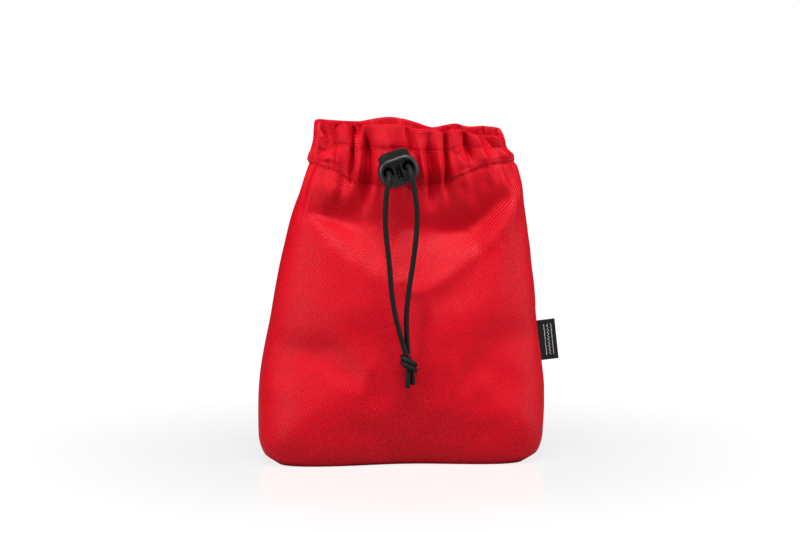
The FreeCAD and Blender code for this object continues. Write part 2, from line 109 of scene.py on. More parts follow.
# height of the lower stitch line, and of the front and back lip, along s
STITCH_LINE = [(-1.0, 157.0), (-0.8, 156.0), (-0.62, 152.5), (-0.48, 147.2), (-0.2, 145.6), (0.1, 145.6),
               (0.25, 147.5), (0.42, 151.8), (0.6, 156.0), (0.8, 157.2), (1.0, 157.6)]
BACK_STITCH_LINE = [(-1.0, 157.0), (-0.6, 153.5), (-0.2, 151.5), (0.2, 151.0), (0.6, 153.5), (1.0, 157.6)]
FRONT_LIP = [(-1.0, 177.4), (-0.93, 171.5), (-0.84, 168.0), (-0.76, 170.5), (-0.68, 175.2), (-0.56, 176.8),
             (-0.505, 176.2), (-0.47, 172.6), (-0.435, 176.2), (-0.30, 176.6), (-0.13, 176.4),
             (-0.09, 177.4),
             (-0.03, 175.6), (0.03, 174.3), (0.16, 174.2), (0.24, 173.4), (0.29, 172.0), (0.36, 173.8),
             (0.46, 173.6), (0.56, 171.2), (0.72, 170.2), (0.86, 169.6), (0.95, 170.6), (1.0, 172.8)]
BACK_LIP = [(-1.0, 177.4), (-0.9, 178.4), (-0.7, 177.6), (-0.45, 176.8), (-0.3, 178.2), (-0.16, 179.0),
            (-0.02, 178.0), (0.1, 176.0), (0.24, 173.6), (0.36, 174.6), (0.47, 175.4), (0.6, 174.0),
            (0.75, 174.4), (0.9, 173.6), (1.0, 172.8)]

# Valleys of the front panel: s and height at the upper end, s and height at the lower end,
# half width in s, depth in millimetres (negative for a ridge), and how sharp the valley is.
FRONT_FOLDS = [
    (-0.90, 170, -0.86, 157, 0.035, 3.0, 1.2),
    (-0.955, 164, -0.94, 158, 0.030, -2.2, 1.0),
    (-0.74, 180, -0.76, 163, 0.050, 4.4, 1.2),
    (-0.63, 176, -0.64, 158, 0.045, -2.4, 1.0),
    (-0.545, 176, -0.500, 150, 0.019, 8.4, 2.0),
    (-0.500, 180, -0.520, 172, 0.024, 4.2, 1.2),
    (-0.47, 168, -0.43, 148, 0.030, -2.0, 1.0),
    (-0.395, 168, -0.370, 136, 0.042, 6.4, 1.3),
    (-0.29, 170, -0.28, 150, 0.045, -2.2, 1.0),
    (-0.13, 178, -0.15, 166, 0.060, -1.6, 1.0),
    (-0.04, 177, -0.01, 161, 0.030, 3.4, 1.2),
    (0.055, 166, 0.070, 148, 0.034, -2.8, 1.2),
    (0.130, 160, 0.140, 136, 0.034, 5.2, 1.3),
    (0.150, 172, 0.160, 162, 0.022, 1.6, 1.0),
    (0.215, 174, 0.205, 146, 0.030, -3.2, 1.2),
    (0.300, 172, 0.255, 146, 0.023, 8.6, 1.8),
    (0.375, 175, 0.380, 160, 0.036, -2.6, 1.0),
    (0.480, 173, 0.490, 159, 0.036, 6.2, 1.5),
    (0.585, 170, 0.600, 157, 0.045, -2.2, 1.0),
    (0.700, 174, 0.720, 165, 0.035, 2.4, 1.0),
    (0.850, 170, 0.830, 160, 0.060, -1.2, 1.0),
    (0.930, 171, 0.920, 163, 0.030, 1.6, 1.0),
]
BACK_FOLDS = [
    (-0.82, 174, -0.80, 150, 0.03, 4.0, 1.3),
    (-0.62, 176, -0.60, 148, 0.03, 5.2, 1.6),
    (-0.47, 172, -0.45, 150, 0.05, -1.8, 1.0),
    (-0.33, 176, -0.30, 146, 0.035, 4.4, 1.2),
    (-0.18, 176, -0.17, 148, 0.04, -1.6, 1.0),
    (-0.05, 174, -0.02, 144, 0.03, 5.4, 1.6),
    (0.12, 174, 0.12, 150, 0.05, -1.8, 1.0),
    (0.24, 176, 0.26, 146, 0.032, 4.8, 1.4),
    (0.42, 174, 0.43, 148, 0.045, -1.6, 1.0),
    (0.53, 176, 0.56, 148, 0.03, 4.6, 1.4),
    (0.78, 176, 0.78, 150, 0.035, 4.0, 1.2),
]


# Creases of the front wall. Each is a path of (s, height, depth, reach on its left, reach on its
# right), walked downwards; depth is negative for a ridge; lengths in millimetres.
FRONT_CREASES = [
    [(-0.80, 131.5, 0.5, 6, 1.8), (-0.71, 130.6, 4.6, 9, 2.4), (-0.60, 129.0, 7.6, 11, 3.4),
     (-0.49, 127.0, 9.6, 13, 5.5),
     (-0.36, 125.5, 10.0, 14, 9), (-0.22, 125.4, 8.6, 14, 11), (-0.08, 124.5, 5.0, 14, 12),
     (0.04, 123.0, 4.2, 14, 12)],
    [(0.78, 142.5, 0.0, 2.5, 6), (0.72, 138.5, 3.8, 2.6, 9), (0.60, 131.0, 8.0, 4.0, 12),
     (0.50, 125.5, 10.4, 5.6, 14),
     (0.40, 121.5, 11.4, 8, 15), (0.26, 120.5, 10.2, 10, 15), (0.12, 121.5, 6.4, 11, 14)],
    [(-0.97, 150.0, -0.4, 6, 6), (-0.80, 147.0, -1.4, 6, 6), (-0.60, 143.5, -2.2, 5, 6),
     (-0.45, 140.5, -1.4, 5, 5),
     (-0.34, 138.5, 0.0, 5, 5)],
    [(0.93, 148.0, -0.6, 7, 6), (0.83, 143.0, -2.0, 5, 5), (0.75, 134.5, -3.2, 5, 4.5),
     (0.62, 123.0, -3.2, 6, 5),
     (0.40, 110.0, -2.8, 6, 6), (0.23, 100.2, -2.6, 6, 4.5), (0.09, 92.5, -1.7, 5, 3.5),
     (-0.02, 90.0, 0.0, 4, 3.5)],
    [(-0.62, 121.0, 0.0, 7, 6), (-0.45, 114.0, -1.4, 9, 8), (-0.26, 105.0, -1.6, 9, 8),
     (-0.10, 95.0, -1.2, 8, 6),
     (0.0, 88.0, 0.0, 6, 6)],
    [(0.01, 96.0, 0.2, 5, 5), (0.01, 84.0, 1.6, 6, 7), (0.0, 70.0, 1.7, 8, 9), (0.0, 56.0, 1.2, 11, 12),
     (0.02, 42.0, 0.4, 16, 16)],
    [(0.90, 157.0, 0.9, 1.2, 1.2), (0.935, 130.0, 0.9, 1.2, 1.2), (0.965, 95.0, 0.7, 1.2, 1.2),
     (0.98, 60.0, 0.4, 1.2, 1.2)],
    [(0.30, 149.0, 0.0, 3, 3), (0.40, 144.0, 1.1, 3, 4), (0.52, 138.0, 0.7, 4, 4),
     (0.60, 134.0, 0.0, 4, 4)],
    [(0.52, 153.5, 0.0, 3, 3), (0.58, 148.0, 0.9, 3, 3.5), (0.66, 141.0, 0.0, 3, 3)],
    [(-0.68, 152.0, 0.0, 3, 3), (-0.60, 148.0, 0.8, 3, 3), (-0.50, 143.0, 0.9, 3, 4),
     (-0.40, 138.0, 0.0, 4, 4)],
    [(-0.22, 112.0, 0.0, 4, 4), (-0.30, 103.0, 0.6, 5, 4), (-0.42, 92.0, 0.5, 6, 5),
     (-0.52, 84.0, 0.0, 5, 5)],
    [(-0.92, 70.0, 0.3, 5, 5), (-0.75, 62.0, 0.7, 7, 6), (-0.55, 58.0, 0.5, 8, 7),
     (-0.38, 57.0, 0.0, 7, 7)],
    [(0.92, 78.0, 0.3, 5, 5), (0.78, 68.0, 0.7, 6, 7), (0.62, 60.0, 0.4, 8, 8), (0.50, 55.0, 0.0, 7, 7)],
    [(-0.95, 40.0, 0.2, 6, 6), (-0.80, 34.0, 0.6, 7, 7), (-0.62, 30.0, 0.0, 8, 8)],
    [(-0.98, 42.0, 0.6, 9, 9), (-0.76, 51.0, 1.9, 12, 10), (-0.46, 63.0, 2.2, 13, 10),
     (-0.26, 73.0, 1.2, 12, 10),
     (-0.10, 82.0, 0.0, 10, 10)],
    [(-0.84, 5.0, -0.6, 7, 9), (-0.60, 22.0, -1.7, 9, 11), (-0.34, 42.0, -1.7, 9, 11),
     (-0.14, 56.0, -0.7, 8, 9),
     (-0.04, 63.0, 0.0, 8, 8)],
    [(0.88, 6.0, -0.6, 9, 7), (0.66, 22.0, -1.7, 11, 9), (0.42, 42.0, -1.7, 11, 9),
     (0.22, 56.0, -0.7, 9, 8),
     (0.10, 64.0, 0.0, 8, 8)],
]
BACK_CREASES = [
    [(-0.74, 139.0, 0.0, 6, 3), (-0.60, 133.0, 3.2, 13, 5), (-0.40, 126.0, 4.4, 16, 9),
     (-0.20, 122.0, 2.4, 16, 11),
     (0.0, 121.0, 0.4, 14, 12)],
    [(0.72, 137.0, 0.0, 3, 6), (0.58, 130.0, 3.4, 5, 13), (0.40, 123.0, 4.2, 9, 17),
     (0.22, 120.0, 2.2, 11, 16),
     (0.04, 120.0, 0.3, 12, 14)],
    [(-0.80, 142.0, -1.0, 6, 6), (-0.62, 124.0, -2.2, 7, 7), (-0.36, 108.0, -1.8, 8, 8),
     (-0.10, 96.0, 0.0, 7, 7)],
    [(0.82, 144.0, -1.0, 6, 6), (0.60, 122.0, -2.2, 7, 7), (0.34, 106.0, -1.8, 8, 8),
     (0.08, 94.0, 0.0, 7, 7)],
    [(-0.88, 74.0, 0.2, 6, 6), (-0.62, 62.0, 0.8, 8, 8), (-0.36, 58.0, 0.0, 8, 8)],
    [(0.88, 68.0, 0.2, 6, 6), (0.60, 58.0, 0.8, 8, 8), (0.36, 52.0, 0.0, 8, 8)],
]
S_STEP = 62.0         # millimetres of cloth for one unit of s, about the middle of the gathers


def crease_field(s, z, creases):
    """Sum of creases. The distance to a crease's path is divided by the reach of the side it lies on;
    the section is depth over (1 + that squared) to the power 1.4."""
    field = np.zeros_like(z)
    for path in creases:
        knots = np.array(path, float)
        place = knots[:, :2] * (S_STEP, 1.0)
        nearest = np.full(z.shape, 1e9)
        share = np.zeros(z.shape)
        for i in range(len(knots) - 1):
            ahead = place[i + 1] - place[i]
            to_x, to_z = s * S_STEP - place[i, 0], z - place[i, 1]
            t = np.clip((to_x * ahead[0] + to_z * ahead[1]) / (ahead @ ahead), 0, 1)
            off_x, off_z = to_x - t * ahead[0], to_z - t * ahead[1]
            distance = np.hypot(off_x, off_z)
            on_left = (ahead[0] * off_z - ahead[1] * off_x) > 0
            depth, left, right = (knots[i, k] * (1 - t) + knots[i + 1, k] * t for k in (2, 3, 4))
            reach = np.where(on_left, left, right)
            value = depth / (1 + (distance / reach) ** 2) ** 1.4
            closer = distance < nearest
            nearest = np.where(closer, distance, nearest)
            share = np.where(closer, value, share)
        field -= share
    return field


def rough_field(s, z, seed):
    """Slight unevenness of the cloth: random heights on lattices 24, 13 and 7 mm wide, joined smoothly."""
    random = np.random.default_rng(seed)
    field = np.zeros_like(z)
    for width, height in ((24.0, 0.42), (13.0, 0.22), (7.0, 0.10)):
        lattice = random.uniform(-1, 1, (40, 40))
        u, v = (s + 1) * S_STEP / width + 1, z / width + 1
        i, j = np.floor(u).astype(int), np.floor(v).astype(int)
        u, v = ramp(u - i, 0, 1), ramp(v - j, 0, 1)
        field += height * ((1 - u) * (1 - v) * lattice[j, i] + u * (1 - v) * lattice[j, i + 1]
                           + (1 - u) * v * lattice[j + 1, i] + u * v * lattice[j + 1, i + 1])
    return field


# Broad dents of the front wall: s, height, reach in s, reach in height, depth in millimetres
# (negative for a swell). The cloth falls in under the gathered casing and swells out again below.
FRONT_DENTS = [
    (-0.32, 80, 0.34, 20, -2.2),
    (0.36, 80, 0.36, 20, -2.2),
    (0.02, 60, 0.22, 18, -1.2),
    (0.05, 2, 0.40, 30, 6.4),
    (-0.66, 24, 0.17, 18, -1.8),
    (0.70, 24, 0.17, 18, -1.8),
    (-0.52, 62, 0.22, 9, 1.6),
    (0.60, 68, 0.20, 9, 1.2),
]
BACK_DENTS = [
    (-0.35, 122, 0.26, 18, 4.2),
    (0.36, 122, 0.26, 18, 4.2),
    (0.0, 80, 0.5, 30, -2.4),
    (0.0, 8, 0.42, 22, 3.6),
]


def dent_field(s, z, dents):
    """Sum of broad dents, each a bell curve in s and in height."""
    field = np.zeros_like(z)
    for middle, height, reach, tall, depth in dents:
        field -= depth * hump(s, middle, reach) * hump(z, height, tall)
    return field


def fold_field(s, z, folds):
    """Sum of valleys: each follows a straight line from its upper to its lower end, its section is
    depth over (1 + distance squared) to the power of its sharpness, faded past both ends."""
    field = np.zeros_like(z)
    for s_high, z_high, s_low, z_low, reach, depth, sharp in folds:
        along = (z - z_low) / (z_high - z_low)
        middle = s_low + (s_high - s_low) * np.clip(along, -0.3, 1.3)
        fade = 0.28 * (z_high - z_low)
        share = ramp(z, z_low - fade, z_low + fade) * (1 - ramp(z, z_high - fade * 0.6, z_high + fade * 1.4))
        distance = (s - middle) / reach
        field -= depth * share / (1 + distance**2) ** (1.2 * sharp)
    return field


# short puckers across the casing: s at one end, height, s at the other end, height, depth
FRONT_PUCKERS = [(-0.90, 164.5, -0.60, 160.5, 1.7), (-0.84, 159.5, -0.62, 156.5, 1.2),
                 (-0.72, 167.0, -0.60, 165.5, 0.9),
                 (0.33, 163.5, 0.46, 160.0, 1.5), (0.62, 163.5, 0.80, 161.0, 0.8),
                 (0.36, 154.0, 0.50, 156.0, 1.0)]


def puckers(s, z, rows):
    """Short valleys lying across the casing, about 2 millimetres to either side, deepest half way."""
    paths = [[(s1, z1, depth * 0.3, 1.6, 2.2), ((s1 + s2) / 2, (z1 + z2) / 2, depth, 1.6, 2.4),
              (s2, z2, 0.0, 1.6, 2.0)] for s1, z1, s2, z2, depth in rows]
    return crease_field(s, z, paths)


# waves of the free edge: height, pace along s, share of the phase
FRILL_WAVES = ((0.9, 15.5, 1.0), (0.7, 27, -1.7), (0.4, 43, 2.2))
# pleats of the casing: the same, then the drift with height and the height that has none
PLEAT_WAVES = ((0.55, 23, 1.0, 0.10, 160), (0.40, 37, -2.1, -0.08, 160), (0.30, 61, 3.3, 0.13, 155))
PLEAT_DEPTH = 1.25


def frill(s, share, phase):
    """The free edge above the upper stitch line leans out and in by turns."""
    wave = sum(height * np.sin(pace * s + lag * phase) for height, pace, lag in FRILL_WAVES)
    return wave * ramp(share, CHANNEL_TOP - 0.05, 1.0)


def gathers(s, z, phase):
    """Fine pleats of the gathered casing: three waves across the panel, whose phases drift with height,
    strongest at the stitch lines."""
    strength = ramp(z, 126, 152) * (1 - 0.35 * ramp(z, 168, 178))
    waves = sum(height * np.sin(pace * s + lag * phase + drift * (z - level))
                for height, pace, lag, drift, level in PLEAT_WAVES)
    return PLEAT_DEPTH * strength * waves


def channel_puff(share):
    """The casing stands out between its stitch lines, where the cord runs, and nips in at each line.
    share is 0 at the lower line and 1 at the lip."""
    return (1.2 * hump(share, CHANNEL_TOP / 2, 0.20) - 0.9 * hump(share, 0.0, 0.035)
            - 0.6 * hump(share, CHANNEL_TOP, 0.035))


def outline_table(columns):
    """Outline of every height: a superellipse cut at the seams and walked at an even pace.

    Returns heights and, for each height and column, x, y and the outward normal, for y at or below 0."""
    heights = np.arange(0, LEVELS[-1, 0] + TABLE_STEP, TABLE_STEP)
    left, right, depth, square = (smooth_through(heights, LEVELS[:, 0], LEVELS[:, k]) for k in range(1, 5))
    turn = np.linspace(np.pi, 0, 721)
    cosine, sine = np.cos(turn), np.abs(np.sin(turn))
    power = (2 / square)[:, None]
    middle, reach = ((right - left) / 2)[:, None], ((right + left) / 2)[:, None]
    x = middle + reach * np.sign(cosine) * np.abs(cosine) ** power
    y = -depth[:, None] * sine ** power
    pace = np.concatenate([np.zeros((len(heights), 1)),
                           np.cumsum(np.hypot(np.diff(x, axis=1), np.diff(y, axis=1)), axis=1)], axis=1)
    share = (columns + 1) / 2
    even_x = np.array([np.interp(share * p[-1], p, row) for p, row in zip(pace, x)])
    even_y = np.array([np.interp(share * p[-1], p, row) for p, row in zip(pace, y)])
    along_x, along_y = np.gradient(even_x, axis=1), np.gradient(even_y, axis=1)
    size = np.hypot(along_x, along_y)
    return heights, even_x, even_y, along_y / size, -along_x / size


def panel_shape(front):
    """One panel as a grid of rows from the bottom seam to the lip, in millimetres.

    Every point is its place on the outline plus its outward normal times the folds' height."""
    s = np.linspace(-1, 1, ACROSS + 1)
    stitch = smooth_through(s, *np.array(STITCH_LINE if front else BACK_STITCH_LINE).T)
    lip = smooth_through(s, *np.array(FRONT_LIP if front else BACK_LIP).T)
    level = np.linspace(0, 150, WALL_ROWS + 1)[:, None]
    lift = ramp(level, 55, 150)
    z_wall = level * (1 - lift) + (stitch[None, :] - 150.0 + level) * lift
    share = np.linspace(0, 1, TOP_ROWS + 1)[1:, None]
    z_top = stitch[None, :] + share * (lip - stitch)[None, :]
    z = np.concatenate([z_wall, z_top])
    heights, *tables = outline_table(s)
    x, y, nx, ny = (np.stack([np.interp(z[:, i], heights, t[:, i]) for i in range(ACROSS + 1)], axis=1)
                    for t in tables)
    s_grid = np.broadcast_to(s, z.shape)
    off = fold_field(s_grid, z, FRONT_FOLDS if front else BACK_FOLDS)
    off += gathers(s_grid, z, 0.7 if front else 2.4)
    off += crease_field(s_grid, z, FRONT_CREASES if front else BACK_CREASES) * (1 - ramp(z, 146, 156))
    off += rough_field(s_grid, z, 3 if front else 5)
    casing_share = (z - stitch) / (lip - stitch)
    off += channel_puff(casing_share) + frill(s_grid, casing_share, 0.4 if front else 2.0)
    if front:
        off += puckers(s_grid, z, FRONT_PUCKERS)
    seam = (1 - np.abs(s_grid)) * HALF_FLAT
    off *= ramp(seam, 0.0, SEAM_FADE)
    off -= SEAM_NIP * hump(seam, 0.0, SEAM_NIP_REACH) * ramp(z, 2, 10)
    off -= CORNER_NIP * hump(z, CORNER_UP, CORNER_REACH) * ramp(np.abs(s_grid), 0.70, 0.80)
    off *= ramp(z, 0.0, FLOOR_FADE)
    off += dent_field(s_grid, z, FRONT_DENTS if front else BACK_DENTS) * ramp(seam, 0.0, SEAM_FADE)
    side = 1 if front else -1
    outline = np.stack([x, y * side, z], axis=2)
    normal = np.stack([nx, ny * side, np.zeros_like(z)], axis=2)
    wall = outline + normal * off[..., None]
    base = np.linspace(0, 1, BASE_ROWS + 1)[:-1, None]
    floor = np.stack([wall[0, :, 0] * (BASE_WAIST + (1 - BASE_WAIST) * base), wall[0, :, 1] * base,
                      np.zeros((BASE_ROWS, ACROSS + 1))], axis=2)
    return {"grid": np.concatenate([floor, wall]), "outline": outline, "normal": normal, "off": off,
            "share": casing_share, "side": side, "s": s}


def make_mesh(name, points, faces, uv=None):
    """Mesh object from points (n, 3) in metres, faces (m, 4) and one (u, v) for each point."""
    mesh = bpy.data.meshes.new(name)
    mesh.from_pydata(points.tolist(), [], faces.tolist())
    if uv is not None:
        layer = mesh.uv_layers.new(name="flat")
        corner = np.empty(len(mesh.loops), dtype=np.int32)
        mesh.loops.foreach_get("vertex_index", corner)
        layer.data.foreach_set("uv", uv[corner].astype(np.float32).ravel())
    mesh.polygons.foreach_set("use_smooth", np.full(len(mesh.polygons), True))
    mesh.validate()
    piece = bpy.data.objects.new(name, mesh)
    bpy.context.collection.objects.link(piece)
    return piece


def grid_faces(rows, columns, flip=False, wrap=False):
    """Quads of a grid stored row by row; wrap joins the last column to the first."""
    index = np.arange(rows * columns).reshape(rows, columns)
    if wrap:
        index = np.concatenate([index, index[:, :1]], axis=1)
    a, b, c, d = index[:-1, :-1], index[:-1, 1:], index[1:, 1:], index[1:, :-1]
    faces = np.stack([a, b, c, d], axis=-1).reshape(-1, 4)
    return faces[:, ::-1] if flip else faces


panels = {"front": panel_shape(True), "back": panel_shape(False)}
CASING_ROW = BASE_ROWS + WALL_ROWS      # row of the lower stitch line in a panel's grid

SETTLE_FRAMES = 45
SETTLE_STEP = 2        # the cloth settles on every second row and column
SETTLE_SCALE = 0.05    # the cloth settles as a model of this size, in metres for each millimetre
SPARE_CLOTH = 1.065    # the cloth is this much wider than the way it is gathered
SPARE_MIDDLE_X = 5     # the spare width is shared out about this line
SETTLE_MOST = 3.5      # no point moves further than this


def read_rows(rows, at):
    """Every row of a grid of vectors read again at the places at, by mixing the two nearest columns."""
    known = np.arange(rows.shape[1])
    return np.stack([[np.interp(at, known, line) for line in rows[..., k]] for k in range(3)], axis=2)


def settle(side):
    """Let the wall of a panel settle as cloth: held at its seams, its base and its casing, slightly wider
    than the space it has, so it buckles where it is slack. The movement is added to the panel's wall."""
    shape = panels[side]
    wall = shape["grid"][BASE_ROWS:CASING_ROW + 1]
    start = wall[::SETTLE_STEP, ::SETTLE_STEP]
    rows, columns = start.shape[:2]
    piece = make_mesh("settling_cloth", start.reshape(-1, 3) * SETTLE_SCALE,
                      grid_faces(rows, columns, flip=side == "back"))
    piece.shape_key_add(name="as gathered")
    rest = piece.shape_key_add(name="as cut")
    spare = 1 + (SPARE_CLOTH - 1) * ramp(start[..., 2], 6, 60)
    cut = start.copy()
    cut[..., 0] = SPARE_MIDDLE_X + (cut[..., 0] - SPARE_MIDDLE_X) * spare
    cut[..., 1] *= spare
    rest.data.foreach_set("co", (cut * SETTLE_SCALE).astype(np.float32).ravel())
    s = np.broadcast_to(np.abs(shape["s"][::SETTLE_STEP]), (rows, columns))
    row = np.broadcast_to(np.arange(rows)[:, None], (rows, columns))
    held = 1 - ramp(start[..., 2], 1, 7) + ramp(row, rows - 6, rows - 2) + ramp(s, 0.93, 0.985)
    held = np.round(np.clip(held, 0, 1), 2)
    group = piece.vertex_groups.new(name="held")
    for weight in np.unique(held[held > 0]):
        group.add(np.flatnonzero(held.ravel() == weight).tolist(), float(weight), "REPLACE")
    cloth = piece.modifiers.new("cloth", "CLOTH")
    settings = cloth.settings
    settings.vertex_group_mass = "held"
    settings.rest_shape_key = rest
    settings.quality = 8
    settings.mass = 0.3
    settings.tension_stiffness = settings.compression_stiffness = 30
    settings.shear_stiffness = 15
    settings.bending_stiffness = 0.4
    settings.tension_damping = settings.compression_damping = 5
    settings.bending_damping = 0.5
    settings.air_damping = 1.0
    settings.effector_weights.gravity = 0.1
    cloth.collision_settings.use_collision = False
    cloth.point_cache.frame_start, cloth.point_cache.frame_end = 1, SETTLE_FRAMES
    for frame_number in range(1, SETTLE_FRAMES + 1):
        bpy.context.scene.frame_set(frame_number)
    settled = piece.evaluated_get(bpy.context.evaluated_depsgraph_get()).to_mesh()
    points = np.empty(len(settled.vertices) * 3, dtype=np.float32)
    settled.vertices.foreach_get("co", points)
    moved = points.reshape(start.shape) / SETTLE_SCALE - start
    size = np.linalg.norm(moved, axis=2, keepdims=True)
    moved *= np.minimum(1, SETTLE_MOST / (size + 1e-9))
    wide = read_rows(moved, np.arange(wall.shape[1]) / SETTLE_STEP)
    full = read_rows(wide.swapaxes(0, 1), np.arange(wall.shape[0]) / SETTLE_STEP).swapaxes(0, 1)
    shape["grid"][BASE_ROWS:CASING_ROW + 1] += full
    bpy.data.objects.remove(piece)
    bpy.context.scene.frame_set(1)


for side in panels:
    settle(side)


def on_panel(side, s, row, lift=0.0):
    """Points of a panel at (s, row), in metres, lifted along the surface's own outward normal.
    Reads the grid between its rows and columns by mixing the four nearest points."""
    grid = panels[side]["grid"]
    facing = np.cross(np.gradient(grid, axis=1), np.gradient(grid, axis=0)) * panels[side]["side"]
    facing /= np.linalg.norm(facing, axis=2, keepdims=True) + 1e-9
    lifted = grid + facing * np.asarray(lift)[..., None] if np.ndim(lift) > 1 else grid + facing * lift
    s, row = np.broadcast_arrays(np.asarray(s, float), np.asarray(row, float))
    column = (s + 1) / 2 * ACROSS
    i = np.clip(column.astype(int), 0, ACROSS - 1)
    j = np.clip(row.astype(int), 0, grid.shape[0] - 2)
    u, v = (column - i)[..., None], (row - j)[..., None]
    mixed = ((1 - u) * (1 - v) * lifted[j, i] + u * (1 - v) * lifted[j, i + 1]
             + (1 - u) * v * lifted[j + 1, i] + u * v * lifted[j + 1, i + 1])
    return mixed * MM


def flat_coordinates(grid):
    """Place of every point on the flat cloth, in metres: across from s, up by the middle column's length."""
    step = np.linalg.norm(np.diff(grid, axis=0), axis=2).mean(axis=1)
    up = np.concatenate([[0], np.cumsum(step)])
    across = np.linspace(-HALF_FLAT, HALF_FLAT, grid.shape[1])
    u, v = np.meshgrid(across, up)
    return np.stack([u, v], axis=-1).reshape(-1, 2) * MM


# ---------------------------------------------------------------- finishes


def new_material(name, color, roughness, **sockets):
    """A material and its shader, with constant values on the shader's own sockets."""
    material = bpy.data.materials.new(name)
    material.use_nodes = True
    shader = material.node_tree.nodes["Principled BSDF"]
    shader.inputs["Base Color"].default_value = (*color, 1)
    shader.inputs["Roughness"].default_value = roughness
    for socket, value in sockets.items():
        shader.inputs[socket.replace("_", " ")].default_value = value
    return material, shader


def node(tree, kind, inputs=(), **settings):
    """A shader node with its settings and its input values or links."""
    made = tree.nodes.new(kind)
    for key, value in settings.items():
        setattr(made, key, value)
    for socket, value in dict(inputs).items():
        if isinstance(value, bpy.types.NodeSocket):
            tree.links.new(value, made.inputs[socket])
        else:
            made.inputs[socket].default_value = value
    return made


def calc(tree, operation, a, b=None, c=None):
    """A Math node and its result."""
    values = {i: v for i, v in enumerate((a, b, c)) if v is not None}
    return node(tree, "ShaderNodeMath", values, operation=operation).outputs[0]


def noise(tree, place, scale, detail):
    """Value of an even noise at a place."""
    return node(tree, "ShaderNodeTexNoise", {"Vector": place, "Scale": scale, "Detail": detail}).outputs[0]


def raise_surface(tree, shader, height, strength, distance):
    """Tilt the shader's normal by the slope of a height."""
    bump = node(tree, "ShaderNodeBump", {"Height": height, "Strength": strength, "Distance": distance})
    tree.links.new(bump.outputs[0], shader.inputs["Normal"])


def zero_to_one(tree, wave):
    """A wave between -1 and 1 brought between 0 and 1."""
    return calc(tree, "MULTIPLY_ADD", wave, 0.5, 0.5)


def twill_group():
    """Twill weave: diagonal ribs across the cloth's own coordinates, each rib broken into floats by the
    other yarn. Puts out a colour and a height; the colour darkens from the ribs' tops into the gaps between
    them, as painted shade."""
    tree = bpy.data.node_groups.new("twill weave", "ShaderNodeTree")
    face = tree.interface
    face.new_socket("Place", in_out="INPUT", socket_type="NodeSocketVector")
    for name, value in (("Rib pitch", 0.00134), ("Slant", 0.70), ("Unevenness", 0.22)):
        face.new_socket(name, in_out="INPUT", socket_type="NodeSocketFloat").default_value = value
    for name in ("Rib color", "Gap color"):
        face.new_socket(name, in_out="INPUT", socket_type="NodeSocketColor")
    face.new_socket("Color", in_out="OUTPUT", socket_type="NodeSocketColor")
    face.new_socket("Height", in_out="OUTPUT", socket_type="NodeSocketFloat")
    face.new_socket("Roughness", in_out="OUTPUT", socket_type="NodeSocketFloat")
    inside = tree.nodes.new("NodeGroupInput")
    outside = tree.nodes.new("NodeGroupOutput")
    place = node(tree, "ShaderNodeSeparateXYZ", {0: inside.outputs["Place"]})
    x, y = place.outputs[0], place.outputs[1]
    pitch = inside.outputs["Rib pitch"]
    wander = noise(tree, inside.outputs["Place"], 260.0, 2.0)
    drift = calc(tree, "MULTIPLY", calc(tree, "SUBTRACT", wander, 0.5), inside.outputs["Unevenness"])
    slanted = calc(tree, "SUBTRACT", y, calc(tree, "MULTIPLY", x, inside.outputs["Slant"]))
    ribs = calc(tree, "ADD", calc(tree, "DIVIDE", slanted, pitch), drift)
    rib = zero_to_one(tree, calc(tree, "SINE", calc(tree, "MULTIPLY", ribs, 2 * math.pi)))
    yarn = calc(tree, "ADD", calc(tree, "DIVIDE", x, pitch), calc(tree, "MULTIPLY", ribs, 0.33))
    floats = zero_to_one(tree, calc(tree, "SINE", calc(tree, "MULTIPLY", yarn, 2 * math.pi)))
    height = calc(tree, "MULTIPLY", rib, calc(tree, "MULTIPLY_ADD", floats, 0.10, 0.90))
    # painted shade: the colour runs from the darker red in the gaps to the rib colour on the ribs' tops, with
    # a slight random tone from the soft noise
    mix = node(tree, "ShaderNodeMix", data_type="RGBA")
    soft = noise(tree, inside.outputs["Place"], 420.0, 2.0)
    share = calc(tree, "MULTIPLY_ADD", calc(tree, "SUBTRACT", soft, 0.5), 0.3, height)
    tree.links.new(share, mix.inputs[0])
    tree.links.new(inside.outputs["Gap color"], mix.inputs[6])
    tree.links.new(inside.outputs["Rib color"], mix.inputs[7])
    tree.links.new(mix.outputs[2], outside.inputs["Color"])
    tree.links.new(height, outside.inputs["Height"])
    tree.links.new(calc(tree, "MULTIPLY_ADD", height, -0.14, 0.52), outside.inputs["Roughness"])
    return tree


twill = twill_group()


def cloth_material(name, rib, painted_gap_shade):
    """Coated twill: red ribs with a darker red painted as shade in the gaps between them, raised ribs, nearly
    matt.
    """
    material, shader = new_material(name, rib, 0.5, Specular_IOR_Level=0.11)
    tree = material.node_tree
    flat = node(tree, "ShaderNodeUVMap", uv_map="flat")
    weave = node(tree, "ShaderNodeGroup", node_tree=twill)
    tree.links.new(flat.outputs[0], weave.inputs["Place"])
    weave.inputs["Rib color"].default_value = (*rib, 1)
    weave.inputs["Gap color"].default_value = (*painted_gap_shade, 1)
    tree.links.new(weave.outputs["Color"], shader.inputs["Base Color"])
    tree.links.new(weave.outputs["Roughness"], shader.inputs["Roughness"])
    raise_surface(tree, shader, weave.outputs["Height"], 0.55, 0.00022)
    return material


# the second red is painted shade for the gaps between the ribs
red_twill = cloth_material("red coated twill", (0.80, 0.0040, 0.018), (0.23, 0.0007, 0.0040))

# ---------------------------------------------------------------- panels


def finish_piece(piece, body, slot, *nodes):
    """The piece moves with a body and stands for the nodes; the slot is not used."""
    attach(piece, body)
    if nodes:
        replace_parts(piece, *nodes)
    return piece


def thicken(piece, thickness, offset=-1.0):
    """Give a sheet its thickness: behind its face, or to both sides with an offset of 0."""
    solid = piece.modifiers.new("cloth thickness", "SOLIDIFY")
    solid.thickness = thickness
    solid.offset = offset
    solid.use_even_offset = False


